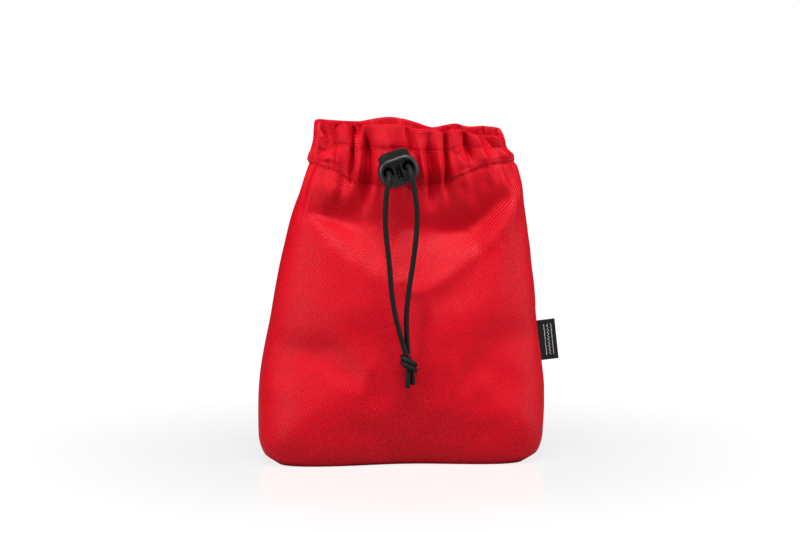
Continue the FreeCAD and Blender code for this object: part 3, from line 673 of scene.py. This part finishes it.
PANEL_THICK = 0.9
HEM_GAP = 2.2          # inner face of the hem behind the panel's outer face, where they lie together
HEM_THICK = 0.8
LIP_ROUND = HEM_GAP / 2
HEM_ROWS = 40
LIP_STEPS = 7
CORD_AIR = 1.2         # room between the drawcord's ring and the hem behind it


def panel_piece(side):
    """The outer cloth of one panel, from the bottom seam to the crown of the lip."""
    grid = panels[side]["grid"]
    piece = make_mesh(f"{side}_panel_cloth", grid.reshape(-1, 3) * MM,
                      grid_faces(*grid.shape[:2], flip=side == "back"), flat_coordinates(grid))
    piece.data.materials.append(red_twill)
    thicken(piece, PANEL_THICK * MM)
    finish_piece(piece, "bag", "twill", f"{side}_panel")
    return piece


def hem_piece(side):
    """The turned-in edge: over the lip in a half circle, then down inside behind the drawcord's ring
    to just under the lower stitch line."""
    shape = panels[side]
    wall, normal = shape["grid"][BASE_ROWS:], shape["normal"]
    lip, lip_normal = wall[-1], normal[-1]
    up = wall[-1] - wall[-3]
    up /= np.linalg.norm(up, axis=1, keepdims=True)
    turn = np.linspace(0, np.pi, LIP_STEPS)[:, None, None]
    crown = lip + lip_normal * (np.cos(turn) - 1) * LIP_ROUND + up * np.sin(turn) * LIP_ROUND
    rows = np.linspace(WALL_ROWS + TOP_ROWS, WALL_ROWS - 2, HEM_ROWS)
    low = np.clip(rows.astype(int), 0, WALL_ROWS + TOP_ROWS - 1)
    mix = (rows - low)[:, None]
    outline = shape["outline"][low] * (1 - mix[..., None]) + shape["outline"][low + 1] * mix[..., None]
    facing = normal[low]
    off = shape["off"][low] * (1 - mix) + shape["off"][low + 1] * mix - HEM_GAP
    share = shape["share"][low] * (1 - mix) + shape["share"][low + 1] * mix
    room = ramp(share, 0.02, 0.22) * (1 - ramp(share, CHANNEL_TOP - 0.24, CHANNEL_TOP - 0.02))
    behind_cord = -(CORD_INSET + CORD_RADIUS + CORD_AIR)
    off = off * (1 - room) + np.minimum(off, behind_cord) * room
    inside = outline + facing * off[..., None]
    points = np.concatenate([crown, inside[1:]])
    piece = make_mesh(f"{side}_hem_cloth", points.reshape(-1, 3) * MM,
                      grid_faces(*points.shape[:2], flip=side == "back"), flat_coordinates(points))
    piece.data.materials.append(red_twill)
    thicken(piece, HEM_THICK * MM)
    return finish_piece(piece, "bag", "twill", f"{side}_hem")


# ---------------------------------------------------------------- tubes


def frames_along(path):
    """Two unit vectors square to the path at every point, carried along without twist."""
    ahead = np.gradient(path, axis=0)
    ahead /= np.linalg.norm(ahead, axis=1, keepdims=True)
    start = np.cross(ahead[0], (0.0, 0.0, 1.0) if abs(ahead[0][2]) < 0.9 else (1.0, 0.0, 0.0))
    first = [start / np.linalg.norm(start)]
    for direction in ahead[1:]:
        carried = first[-1] - direction * (first[-1] @ direction)
        first.append(carried / np.linalg.norm(carried))
    first = np.array(first)
    return first, np.cross(ahead, first)


def even_path(points, step):
    """The same line with its points a step apart."""
    points = np.asarray(points, float)
    walked = np.concatenate([[0], np.cumsum(np.linalg.norm(np.diff(points, axis=0), axis=1))])
    count = max(int(round(walked[-1] / step)), 2)
    at = np.linspace(0, walked[-1], count + 1)
    return np.stack([np.interp(at, walked, points[:, k]) for k in range(3)], axis=1), at


def tube_rings(path, across, upward, radius, sides):
    """Rings of a tube about a path: across and upward are unit vectors at every point."""
    turn = np.linspace(0, 2 * np.pi, sides, endpoint=False)
    ring = across[..., None, :] * np.cos(turn)[:, None] + upward[..., None, :] * np.sin(turn)[:, None]
    return path[..., None, :] + ring * np.asarray(radius)[..., None, None]


BRAID_STRANDS = 8
BRAID_PITCH = 7.5 * MM
CORD_SIDES = 28
CORD_STEP = 0.34 * MM


def braid(turn, along):
    """Height of a tubular braid, 0 to 1: two sets of strands wind opposite ways and pass over and under."""
    one = np.sin(BRAID_STRANDS * (turn + 2 * np.pi * along / BRAID_PITCH) / 2)
    two = np.sin(BRAID_STRANDS * (turn - 2 * np.pi * along / BRAID_PITCH) / 2)
    return np.maximum(np.abs(one) ** 0.8 * (np.abs(two) > 0.35), np.abs(two) ** 0.8 * 0.8)


def cord_mesh(name, line, radius=CORD_RADIUS * MM, caps=(False, False), swelling=0.0):
    """Braided cord along a line, in metres; caps close an end with a rounded cut; swelling thickens the
    middle by that share."""
    path, along = even_path(line, CORD_STEP)
    first, second = frames_along(path)
    turn = np.linspace(0, 2 * np.pi, CORD_SIDES, endpoint=False)
    swell = radius * (0.955 + 0.075 * braid(turn[None, :], along[:, None]))
    swell = swell * (1 + swelling * np.sin(np.pi * along / along[-1]) ** 2)[:, None]
    ring = first[:, None] * np.cos(turn)[None, :, None] + second[:, None] * np.sin(turn)[None, :, None]
    points = path[:, None] + ring * swell[..., None]
    for end, closed in ((0, caps[0]), (-1, caps[1])):
        if closed:
            ahead = path[end] - path[1 if end == 0 else -2]
            ahead /= np.linalg.norm(ahead)
            rims = [path[end] + ahead * radius * lift + (points[end] - path[end]) * shrink
                    for lift, shrink in ((0.12, 0.93), (0.22, 0.72), (0.26, 0.36), (0.27, 0.02))]
            more = np.full(len(rims), along[end])
            points = np.concatenate([np.array(rims[::-1]), points] if end == 0 else [points, np.array(rims)])
            along = np.concatenate([more, along] if end == 0 else [along, more])
    u, v = np.meshgrid(turn / (2 * np.pi), along)
    piece = make_mesh(name, points.reshape(-1, 3), grid_faces(*points.shape[:2], flip=False, wrap=True),
                      np.stack([u, v], axis=-1).reshape(-1, 2))
    piece.data.materials.append(black_braid)
    return piece


# ---------------------------------------------------------------- black finishes


def braid_material():
    """Black polyester yarn: fine filaments along each strand, their tone and height varied by a stretched
    noise.
    """
    material, shader = new_material("black braided polyester", (0.006, 0.006, 0.006), 0.6,
                                    Specular_IOR_Level=0.2)
    tree = material.node_tree
    flat = node(tree, "ShaderNodeUVMap", uv_map="flat")
    stretch = node(tree, "ShaderNodeMapping", {"Vector": flat.outputs[0], "Scale": (34.0, 900.0, 1.0)})
    yarn = noise(tree, stretch.outputs[0], 1.0, 3.0)
    tone = node(tree, "ShaderNodeMix", {0: yarn}, data_type="RGBA")
    tone.inputs[6].default_value = (0.0008, 0.0008, 0.0009, 1)
    tone.inputs[7].default_value = (0.007, 0.0068, 0.0072, 1)
    tree.links.new(tone.outputs[2], shader.inputs["Base Color"])
    raise_surface(tree, shader, yarn, 0.6, 0.00012)
    return material


def lock_material():
    """Moulded nylon: near black, satin, with a fine spark-eroded grain."""
    material, shader = new_material("black moulded nylon", (0.005, 0.005, 0.0055), 0.42,
                                    Specular_IOR_Level=0.55)
    tree = material.node_tree
    place = node(tree, "ShaderNodeTexCoord").outputs["Object"]
    cloud = noise(tree, place, 240.0, 3.0)
    tree.links.new(calc(tree, "MULTIPLY_ADD", cloud, 0.22, 0.32), shader.inputs["Roughness"])
    raise_surface(tree, shader, noise(tree, place, 5200.0, 2.0), 0.25, 0.00004)
    return material


def steel_material():
    """Drawn spring wire: bright steel with fine draw marks."""
    material, shader = new_material("spring steel", (0.62, 0.62, 0.64), 0.28, Metallic=1.0)
    tree = material.node_tree
    marks = noise(tree, node(tree, "ShaderNodeTexCoord").outputs["Object"], 3000.0, 2.0)
    tree.links.new(calc(tree, "MULTIPLY_ADD", marks, 0.2, 0.18), shader.inputs["Roughness"])
    return material


black_braid, black_nylon, spring_steel = braid_material(), lock_material(), steel_material()


def repaint(node_name, material):
    """Give a CAD node a finish of its own."""
    mesh = bpy.data.objects[node_name].data
    mesh.materials.clear()
    mesh.materials.append(material)
    mesh.polygons.foreach_set("material_index", np.zeros(len(mesh.polygons), dtype=np.int32))


for side in panels:
    panel_piece(side)
    hem_piece(side)

for node_name in ("lock_body", "lock_plunger"):
    repaint(node_name, black_nylon)

# ---------------------------------------------------------------- lock and free cord
# Places in millimetres. A leg starts in its hole, leaves it forwards and then follows its route.

LOCK_TILT = math.radians(19.5)
HOLE_APART = 10.6
LOCK_CENTRE = (-3.2, -29.0, 155.1)
LOCK_FACE_Y = -35.0
CORD_JOIN_Y = -33.6    # inside the lock, where the drawcord in the casing becomes a leg
LEG_BEND_Y = -41.2     # how far forwards a leg goes before it bends down
HOLES = {side: (LOCK_CENTRE[0] + sign * HOLE_APART / 2 * math.cos(LOCK_TILT),
                LOCK_CENTRE[2] + sign * HOLE_APART / 2 * math.sin(LOCK_TILT))
         for side, sign in (("left", -1), ("right", 1))}
LEG_ROUTES = {
    "left": [(-9.1, -43.9, 149.0), (-10.2, -43.7, 141.2), (-10.6, -42.4, 127.0), (-8.2, -40.6, 107.5),
             (-6.8, -39.4, 89.0), (-3.6, -38.7, 74.0), (0.5, -38.2, 60.4)],
    "right": [(2.6, -43.9, 152.8), (4.6, -43.8, 144.6), (6.2, -42.6, 130.0), (4.1, -40.7, 109.5),
              (1.2, -38.6, 90.5), (0.4, -36.6, 74.8), (1.7, -35.4, 60.6)],
}
KNOT = np.array((2.0, -36.6, 55.9))
TAIL_ROUTES = {
    "left": [(1.8, -37.3, 55.3), (1.3, -38.0, 48.3), (1.2, -38.1, 43.7)],
    "right": [(2.9, -35.6, 55.3), (3.8, -35.2, 48.7), (4.1, -35.1, 44.9)],
}

SPRING_ENDS = (-5.3, 1.8)   # the wire's middle at the spring's foot and head, up the lock from its centre
SPRING_RADIUS, WIRE_RADIUS, SPRING_TURNS = 1.8, 0.25, 5.0
PINHOLE = 0.02              # what is left open at the wire's ends, as a share of its thickness


def spring_piece():
    """Helix of wire up the lock's axis; its first and last quarter turn lie flat."""
    turn = np.linspace(0, 2 * np.pi * SPRING_TURNS, 361)
    rise = np.interp(turn, (np.pi / 2, turn[-1] - np.pi / 2), SPRING_ENDS)
    upward = np.array((-math.sin(LOCK_TILT), 0, math.cos(LOCK_TILT)))
    sideways = np.array((math.cos(LOCK_TILT), 0, math.sin(LOCK_TILT)))
    outward = sideways * np.cos(turn)[:, None] + np.array((0, 1, 0)) * np.sin(turn)[:, None]
    line = np.array(LOCK_CENTRE) + upward * rise[:, None] + outward * SPRING_RADIUS
    points = tube_rings(line, outward, np.broadcast_to(upward, outward.shape),
                        np.full(len(turn), WIRE_RADIUS), 14)
    middle = points[[0, -1]].mean(axis=1, keepdims=True)
    ends = middle + PINHOLE * (points[[0, -1]] - middle)
    points = np.concatenate([ends[:1], points, ends[1:]])
    piece = make_mesh("coil_spring", points.reshape(-1, 3) * MM,
                      grid_faces(*points.shape[:2], flip=True, wrap=True))
    piece.data.materials.append(spring_steel)
    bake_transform(piece)
    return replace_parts(piece, "lock_spring")


def smooth_line(route):
    """Points of the smooth NURBS line whose control points are the route's."""
    curve = bpy.data.curves.new("route", "CURVE")
    curve.dimensions = "3D"
    spline = curve.splines.new("NURBS")
    spline.points.add(len(route) - 1)
    for point, place in zip(spline.points, route):
        point.co = (*(np.array(place) * MM), 1)
    spline.order_u = 3
    spline.use_endpoint_u = True
    curve.resolution_u = 24
    holder = bpy.data.objects.new("route", curve)
    line = bpy.data.meshes.new_from_object(holder)
    points = np.array([v.co for v in line.vertices])
    bpy.data.objects.remove(holder)
    bpy.data.curves.remove(curve)
    bpy.data.meshes.remove(line)
    return points


def knot_piece():
    """Overhand knot pulled tight: the doubled cord winds twice about itself, slanting, and dives in at
    both ends. Its line is a helix whose radius swells from nothing and shrinks again."""
    share = np.linspace(0, 1, 120)
    turn = 2 * np.pi * 2.15 * share + 0.9
    swell = ramp(share, 0.0, 0.16) * (1 - ramp(share, 0.84, 1.0))
    across, deep, tall = 3.15 * swell, 2.35 * swell, 3.0 - 6.0 * share
    x = across * np.cos(turn)
    line = KNOT + np.stack([x, deep * np.sin(turn), tall - 0.42 * x], axis=1)
    return cord_mesh("cord_knot_wraps", line * MM, radius=1.4 * MM, caps=(True, True))


spring_piece()
knot = knot_piece()
finish_piece(knot, "cord_end", "cord", "cord_knot")
for side, route in TAIL_ROUTES.items():
    tail = cord_mesh(f"cord_tail_{side}_braid", smooth_line(route), caps=(False, True))
    finish_piece(tail, "cord_end", "cord", f"cord_tail_{side}")

for side, route in LEG_ROUTES.items():
    hole_x, hole_z = HOLES[side]
    exit_point = (hole_x, LOCK_FACE_Y, hole_z)
    line = smooth_line([(hole_x, CORD_JOIN_Y, hole_z), exit_point, (hole_x, LEG_BEND_Y, hole_z), *route])
    leg = cord_mesh(f"cord_leg_{side}_braid", line)
    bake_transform(leg)
    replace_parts(leg, f"cord_leg_{side}")

# ---------------------------------------------------------------- stitches

STITCH_LENGTH = 2.5
STITCH_GAP = 0.45
THREAD_RADIUS = 0.24
STITCH_REACH = 0.985   # the rows run this far towards the seams, in s


def thread_material():
    """Red polyester thread with a slight shine."""
    return new_material("red sewing thread", (0.62, 0.005, 0.016), 0.5, Specular_IOR_Level=0.2)[0]


def binding_material():
    """Red woven tape over the seam allowance: close cross ribs."""
    material, shader = new_material("red seam tape", (0.42, 0.004, 0.012), 0.7, Specular_IOR_Level=0.2)
    tree = material.node_tree
    place = node(tree, "ShaderNodeTexCoord").outputs["Object"]
    ribs = node(tree, "ShaderNodeTexWave", {"Vector": place, "Scale": 420.0, "Distortion": 0.6},
                bands_direction="Z")
    raise_surface(tree, shader, ribs.outputs["Fac"], 0.4, 0.0002)
    return material


red_thread, red_tape = thread_material(), binding_material()


def stitch_row(name, node_name, row):
    """Lock stitches along a row of both panels: each stitch is a short thread that rises from the cloth,
    lies on it and dives back in."""
    steps = np.linspace(-1, 1, 7)
    across_panel = np.linspace(-STITCH_REACH, STITCH_REACH, 400)
    points, faces, start = [], [], 0
    for side in panels:
        line = on_panel(side, across_panel, row)
        walked = np.concatenate([[0], np.cumsum(np.linalg.norm(np.diff(line, axis=0), axis=1))]) / MM
        middles = np.arange(STITCH_LENGTH, walked[-1] - STITCH_LENGTH, STITCH_LENGTH + STITCH_GAP)
        reach = middles[:, None] + steps * STITCH_LENGTH / 2
        at = np.interp(reach, walked, across_panel)
        on_cloth, above = on_panel(side, at, row), on_panel(side, at, row, 1.0)
        out = above - on_cloth
        out /= np.linalg.norm(out, axis=2, keepdims=True)
        path = on_cloth + out * (0.30 - 0.75 * np.abs(steps) ** 3)[None, :, None] * MM
        ahead = np.gradient(path, axis=1)
        ahead /= np.linalg.norm(ahead, axis=2, keepdims=True)
        across = np.cross(ahead, out)
        across /= np.linalg.norm(across, axis=2, keepdims=True)
        radius = np.broadcast_to(THREAD_RADIUS * (1 - 0.35 * np.abs(steps) ** 4), at.shape) * MM
        rings = tube_rings(path, across, out, radius, 8)
        for stitch in rings:
            points.append(stitch.reshape(-1, 3))
            faces.append(grid_faces(len(steps), 8, flip=True, wrap=True) + start)
            start += stitch.shape[0] * 8
    piece = make_mesh(name, np.concatenate(points), np.concatenate(faces))
    piece.data.materials.append(red_thread)
    return finish_piece(piece, "bag", "thread", node_name)


def bar(name, path, wide, thick, material, slot, *nodes, upright=(0.0, 1.0, 0.0)):
    """A soft strip with rounded edges along a path: superellipse section, wide by thick, in metres."""
    path = even_path(path, 0.8 * MM)[0]
    ahead = np.gradient(path, axis=0)
    ahead /= np.linalg.norm(ahead, axis=1, keepdims=True)
    across = np.broadcast_to(np.array(upright), ahead.shape)
    across = across - ahead * (across * ahead).sum(axis=1, keepdims=True)
    across /= np.linalg.norm(across, axis=1, keepdims=True)
    flat = np.cross(ahead, across)
    turn = np.linspace(0, 2 * np.pi, 20, endpoint=False)
    u = np.sign(np.cos(turn)) * np.abs(np.cos(turn)) ** 0.5 * wide / 2
    v = np.sign(np.sin(turn)) * np.abs(np.sin(turn)) ** 0.5 * thick / 2
    points = path[:, None] + across[:, None] * u[:, None] + flat[:, None] * v[:, None]
    for end in (0, -1):
        middle = points[end].mean(axis=0)
        closing = np.stack([middle + (points[end] - middle) * k for k in (0.7, 0.02)])
        points = np.concatenate([closing[::-1], points] if end == 0 else [points, closing])
    piece = make_mesh(name, points.reshape(-1, 3), grid_faces(*points.shape[:2], wrap=True))
    piece.data.materials.append(material)
    return finish_piece(piece, "bag", slot, *nodes)


for name, share in (("lower_casing", 0.0), ("upper_casing", CHANNEL_TOP)):
    stitch_row(f"{name}_stitches", f"{name}_thread", CASING_ROW + share * TOP_ROWS)

SEAM_INSET = 4.2            # middle of a side binding, inside the seam
CORNER_X, CORNER_Z, CORNER_HALF = 60.0, 2.4, 17.0
BOTTOM_Z, BOTTOM_HALF = 2.2, 57.0

for side, sign in (("left", -1), ("right", 1)):
    seam_line = panels["front"]["grid"][BASE_ROWS + 6:CASING_ROW - 2, 0 if sign < 0 else -1]
    edge = (seam_line - np.array((sign * SEAM_INSET, 0, 0))) * (1, 0, 1) * MM
    bar(f"{side}_side_binding", edge, 1.8 * MM, 5.0 * MM, red_tape, "seam_binding", f"{side}_side_seam")
    corner = [(sign * CORNER_X, y, CORNER_Z) for y in np.linspace(-CORNER_HALF, CORNER_HALF, 20)]
    corner = np.array(corner) * MM
    bar(f"{side}_corner_binding", corner, 3.2 * MM, 1.6 * MM, red_tape, "seam_binding",
        f"{side}_corner_seam", upright=(1.0, 0.0, 0.0))
bottom = np.array([(x, 0, BOTTOM_Z) for x in np.linspace(-BOTTOM_HALF, BOTTOM_HALF, 40)]) * MM
bar("bottom_binding", bottom, 4.6 * MM, 1.6 * MM, red_tape, "seam_binding", "bottom_seam")

BUTTONHOLE_RADIUS = 2.35
BUTTONHOLE_TURNS = 36       # stitches round one hole
BUTTONHOLE_RISE = 0.35      # middle of the ring, in front of the cloth


def buttonhole_ring(side):
    """Satin stitches round a hole: a flat ring whose upper face is ridged by the threads."""
    hole_x, hole_z = HOLES[side]
    front = panels["front"]["grid"][BASE_ROWS:]
    far = (front[..., 0] - hole_x) ** 2 + (front[..., 2] - hole_z) ** 2
    near = np.argmin(far + 1e6 * (front[..., 1] > -5))
    depth = front.reshape(-1, 3)[near, 1]
    turn = np.linspace(0, 2 * np.pi, 144, endpoint=False)[:, None]
    round_tube = np.linspace(0, 2 * np.pi, 16, endpoint=False)[None, :]
    ridge = 1 + 0.10 * np.sin(BUTTONHOLE_TURNS * turn) * (np.sin(round_tube) > -0.2)
    wide, thick = 0.95 * ridge, 0.62 * ridge
    radius = BUTTONHOLE_RADIUS + wide * np.cos(round_tube)
    points = np.stack([hole_x + radius * np.cos(turn), depth - BUTTONHOLE_RISE - thick * np.sin(round_tube),
                       hole_z + radius * np.sin(turn)], axis=2)
    points = np.concatenate([points, points[:1]])
    piece = make_mesh(f"{side}_buttonhole_stitches", points.reshape(-1, 3) * MM,
                      grid_faces(*points.shape[:2], flip=True, wrap=True))
    piece.data.materials.append(red_thread)
    return finish_piece(piece, "bag", "thread", f"{side}_buttonhole")


for side in HOLES:
    buttonhole_ring(side)

# ---------------------------------------------------------------- drawcord

STUB_START_Y = -14.0
MOUTH_MIDDLE_X, MOUTH_HALF_WIDE, MOUTH_HALF_DEEP = 5.5, 52.0, 20.0
CORD_TURNS_S = {"left": -0.26, "right": -0.02}      # where the ring turns forwards to each hole
STUB_SWELLING = 0.8         # the cord spreads to fill its hole


def casing_ring():
    """The cord's way round inside the casing, from the left hole to the right hole: the outline of the
    cord's height, drawn in by the same width at its sides, front and back, and evened out."""
    (left_x, left_z), (right_x, right_z) = HOLES["left"], HOLES["right"]
    path = [(left_x, STUB_START_Y, left_z)]
    middle = np.array((MOUTH_MIDDLE_X, 0.0, 0.0))
    shrink = np.array((1 - CORD_INSET / MOUTH_HALF_WIDE, 1 - CORD_INSET / MOUTH_HALF_DEEP, 1.0))
    parts = (("front", np.linspace(CORD_TURNS_S["left"], -1, 40)[1:]), ("back", np.linspace(-1, 1, 90)[1:-1]),
             ("front", np.linspace(1, CORD_TURNS_S["right"], 50)))
    for side, s in parts:
        outline, share = panels[side]["outline"], panels[side]["share"]
        row = np.argmin(np.abs(share[:, ACROSS // 2] - CHANNEL_TOP / 2))
        line = np.stack([np.interp(s, panels[side]["s"], outline[row, :, k]) for k in range(3)], axis=1)
        path += list((line - middle) * shrink + middle)
    path.append((right_x, STUB_START_Y, right_z))
    path = even_path(path, 1.5)[0]
    for _ in range(10):
        path[1:-1] = (path[:-2] + 2 * path[1:-1] + path[2:]) / 4
    return path


ring = cord_mesh("drawcord_ring", casing_ring() * MM)
finish_piece(ring, "bag", "cord", "drawcord")
for side, (hole_x, hole_z) in HOLES.items():
    run = np.array([(hole_x, STUB_START_Y + 0.4, hole_z), (hole_x, CORD_JOIN_Y, hole_z)]) * MM
    stub = cord_mesh(f"drawcord_stub_{side}", run, swelling=STUB_SWELLING)
    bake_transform(stub)

# ---------------------------------------------------------------- label

LABEL_HINGE = np.array((74.8, 0.0, 62.2))
LABEL_LEAN = math.radians(6.4)
LABEL_OUT, LABEL_TALL, LABEL_HIDDEN, LABEL_THICK = 8.6, 21.4, 1.4, 0.9
TAPE_THICK = 0.32
# the woven motif, in metres: width of the zigzag, half a line, half the motif's height, step of the ribs
ZIGZAG_WIDE, LINE_HALF, MOTIF_HALF, RIB_STEP = 0.0009, 0.00017, 0.0082, 0.00036


def label_material():
    """Black woven tape: fine ribs, with a plain motif woven in pale yarn, two thin lines and a zigzag."""
    material, shader = new_material("black woven label", (0.006, 0.006, 0.007), 0.62, Specular_IOR_Level=0.25)
    tree = material.node_tree
    flat = node(tree, "ShaderNodeUVMap", uv_map="flat")
    place = node(tree, "ShaderNodeSeparateXYZ", {0: flat.outputs[0]})
    out, up = place.outputs[0], place.outputs[1]
    zigzag = calc(tree, "PINGPONG", up, ZIGZAG_WIDE)
    motif = None
    for middle, swing in ((0.0024, 0.0), (0.0043, 1.0), (0.0062, 0.0)):
        target = calc(tree, "ADD", calc(tree, "MULTIPLY", zigzag, swing), middle - ZIGZAG_WIDE / 2 * swing)
        off_line = calc(tree, "ABSOLUTE", calc(tree, "SUBTRACT", out, target))
        line = calc(tree, "LESS_THAN", off_line, LINE_HALF)
        motif = line if motif is None else calc(tree, "MAXIMUM", motif, line)
    off_middle = calc(tree, "ABSOLUTE", calc(tree, "SUBTRACT", up, LABEL_TALL * MM / 2))
    motif = calc(tree, "MULTIPLY", motif, calc(tree, "LESS_THAN", off_middle, MOTIF_HALF))
    ribs = zero_to_one(tree, calc(tree, "SINE", calc(tree, "MULTIPLY", up, 2 * math.pi / RIB_STEP)))
    broken = calc(tree, "MULTIPLY", motif, calc(tree, "MULTIPLY_ADD", ribs, 0.45, 0.55))
    tone = node(tree, "ShaderNodeMix", {0: broken}, data_type="RGBA")
    tone.inputs[6].default_value = (0.006, 0.006, 0.007, 1)
    tone.inputs[7].default_value = (0.55, 0.55, 0.55, 1)
    tree.links.new(tone.outputs[2], shader.inputs["Base Color"])
    raise_surface(tree, shader, calc(tree, "ADD", ribs, motif), 0.5, 0.00008)
    return material


def label_piece():
    """Woven tape folded in half: out along the front, round the fold, and back behind. A point is the
    hinge plus its distance out, its place up the tape and its half turn about the fold."""
    fold = LABEL_THICK / 2 - TAPE_THICK / 2
    tip = LABEL_OUT - LABEL_THICK / 2
    straight = tip + LABEL_HIDDEN
    turn = np.linspace(0, np.pi, 9)
    out = np.concatenate([np.linspace(-LABEL_HIDDEN, tip, 26)[:-1], tip + fold * np.sin(turn),
                          np.linspace(tip, -LABEL_HIDDEN, 26)[1:]])
    deep = np.concatenate([np.full(25, -fold), -fold * np.cos(turn), np.full(25, fold)])
    walked = np.concatenate([np.linspace(0, straight, 26)[:-1], straight + fold * turn,
                             straight + fold * np.pi + np.linspace(0, straight, 26)[1:]])
    up = np.linspace(-LABEL_TALL / 2, LABEL_TALL / 2, 44)
    belly = 0.12 * np.sin(np.pi * (up / LABEL_TALL + 0.5))[:, None] * (out / LABEL_OUT)[None, :]
    out_axis = np.array((math.cos(LABEL_LEAN), 0, math.sin(LABEL_LEAN)))
    up_axis = np.array((-math.sin(LABEL_LEAN), 0, math.cos(LABEL_LEAN)))
    points = (LABEL_HINGE + out_axis * out[None, :, None] + up_axis * up[:, None, None]
              + np.array((0, 1, 0)) * (deep[None, :] + belly)[..., None])
    tape_u = np.where(np.arange(len(out)) < 30, walked - LABEL_HIDDEN, walked[-1] - walked - LABEL_HIDDEN)
    u, v = np.meshgrid(tape_u, up + LABEL_TALL / 2)
    piece = make_mesh("folded_label", points.reshape(-1, 3) * MM, grid_faces(*points.shape[:2]),
                      np.stack([u, v], axis=-1).reshape(-1, 2) * MM)
    piece.data.materials.append(label_material())
    thicken(piece, TAPE_THICK * MM, offset=0.0)
    finish_piece(piece, "label", "label_tape", "side_label")
    return piece


label_piece()

# ---------------------------------------------------------------- studio


def add_light(name, place, aim, size, power):
    """A rectangular softbox that faces a point."""
    lamp = bpy.data.lights.new(name, "AREA")
    lamp.shape = "RECTANGLE"
    lamp.size, lamp.size_y = size
    lamp.energy = power
    light = bpy.data.objects.new(name, lamp)
    bpy.context.collection.objects.link(light)
    light.location = place
    light.rotation_euler = (Vector(aim) - Vector(place)).to_track_quat("-Z", "Y").to_euler()


def studio():
    """A pale floor that fades to white with distance, three softboxes, a white surround and the camera.
    The floor and the surround look bright to the camera only, so they light the pouch little."""
    floor_mesh = bpy.data.meshes.new("studio_floor")
    reach = 6.0
    corners = [(-reach, -reach, 0), (reach, -reach, 0), (reach, reach, 0), (-reach, reach, 0)]
    floor_mesh.from_pydata(corners, [], [(0, 1, 2, 3)])
    floor = bpy.data.objects.new("studio_floor", floor_mesh)
    bpy.context.collection.objects.link(floor)
    paper, shader = new_material("pale studio floor", (0.10, 0.10, 0.10), 0.17)
    shader.inputs["Emission Color"].default_value = (1, 1, 1, 1)
    tree = paper.node_tree
    seen = node(tree, "ShaderNodeLightPath")
    shade = node(tree, "ShaderNodeMix", {0: seen.outputs["Is Camera Ray"]}, data_type="RGBA")
    shade.inputs[6].default_value = (0.36, 0.36, 0.36, 1)
    shade.inputs[7].default_value = (0.10, 0.10, 0.10, 1)
    tree.links.new(shade.outputs[2], shader.inputs["Base Color"])
    place = node(tree, "ShaderNodeTexCoord")
    far = node(tree, "ShaderNodeVectorMath", {0: place.outputs["Object"]}, operation="LENGTH")
    glow = node(tree, "ShaderNodeMapRange", {0: far.outputs["Value"], 1: 0.10, 2: 0.36, 3: 0.80, 4: 1.05})
    seen_glow = calc(tree, "MULTIPLY", seen.outputs["Is Camera Ray"], glow.outputs[0])
    tree.links.new(seen_glow, shader.inputs["Emission Strength"])
    floor_mesh.materials.append(paper)
    middle = (0, 0, 0.09)
    add_light("left softbox", (-1.05, -0.58, 0.50), middle, (0.5, 0.8), 12)
    add_light("right softbox", (1.1, -0.50, 0.50), middle, (0.5, 0.8), 10.5)
    add_light("overhead softbox", (0.0, -0.55, 1.25), middle, (0.8, 0.4), 22)
    world = bpy.data.worlds.new("studio world")
    bpy.context.scene.world = world
    world.use_nodes = True
    tree = world.node_tree
    seen = node(tree, "ShaderNodeLightPath")
    strength = calc(tree, "MULTIPLY_ADD", seen.outputs["Is Camera Ray"], 0.98, 0.02)
    background = tree.nodes["Background"]
    background.inputs[0].default_value = (1, 1, 1, 1)
    tree.links.new(strength, background.inputs[1])
    camera = bpy.data.objects.new("camera", bpy.data.cameras.new("camera"))
    bpy.context.collection.objects.link(camera)
    camera.data.lens, camera.data.sensor_width = 100, 36
    swing, rise, distance = math.radians(-4), math.radians(6), 1.17
    back = Vector((math.sin(swing) * math.cos(rise), -math.cos(swing) * math.cos(rise), math.sin(rise)))
    camera.location = Vector((0, 0, 0.102)) + back * distance
    camera.rotation_euler = (-back).to_track_quat("-Z", "Y").to_euler()
    bpy.context.scene.camera = camera
    bpy.context.scene.view_settings.view_transform = "Standard"


studio()
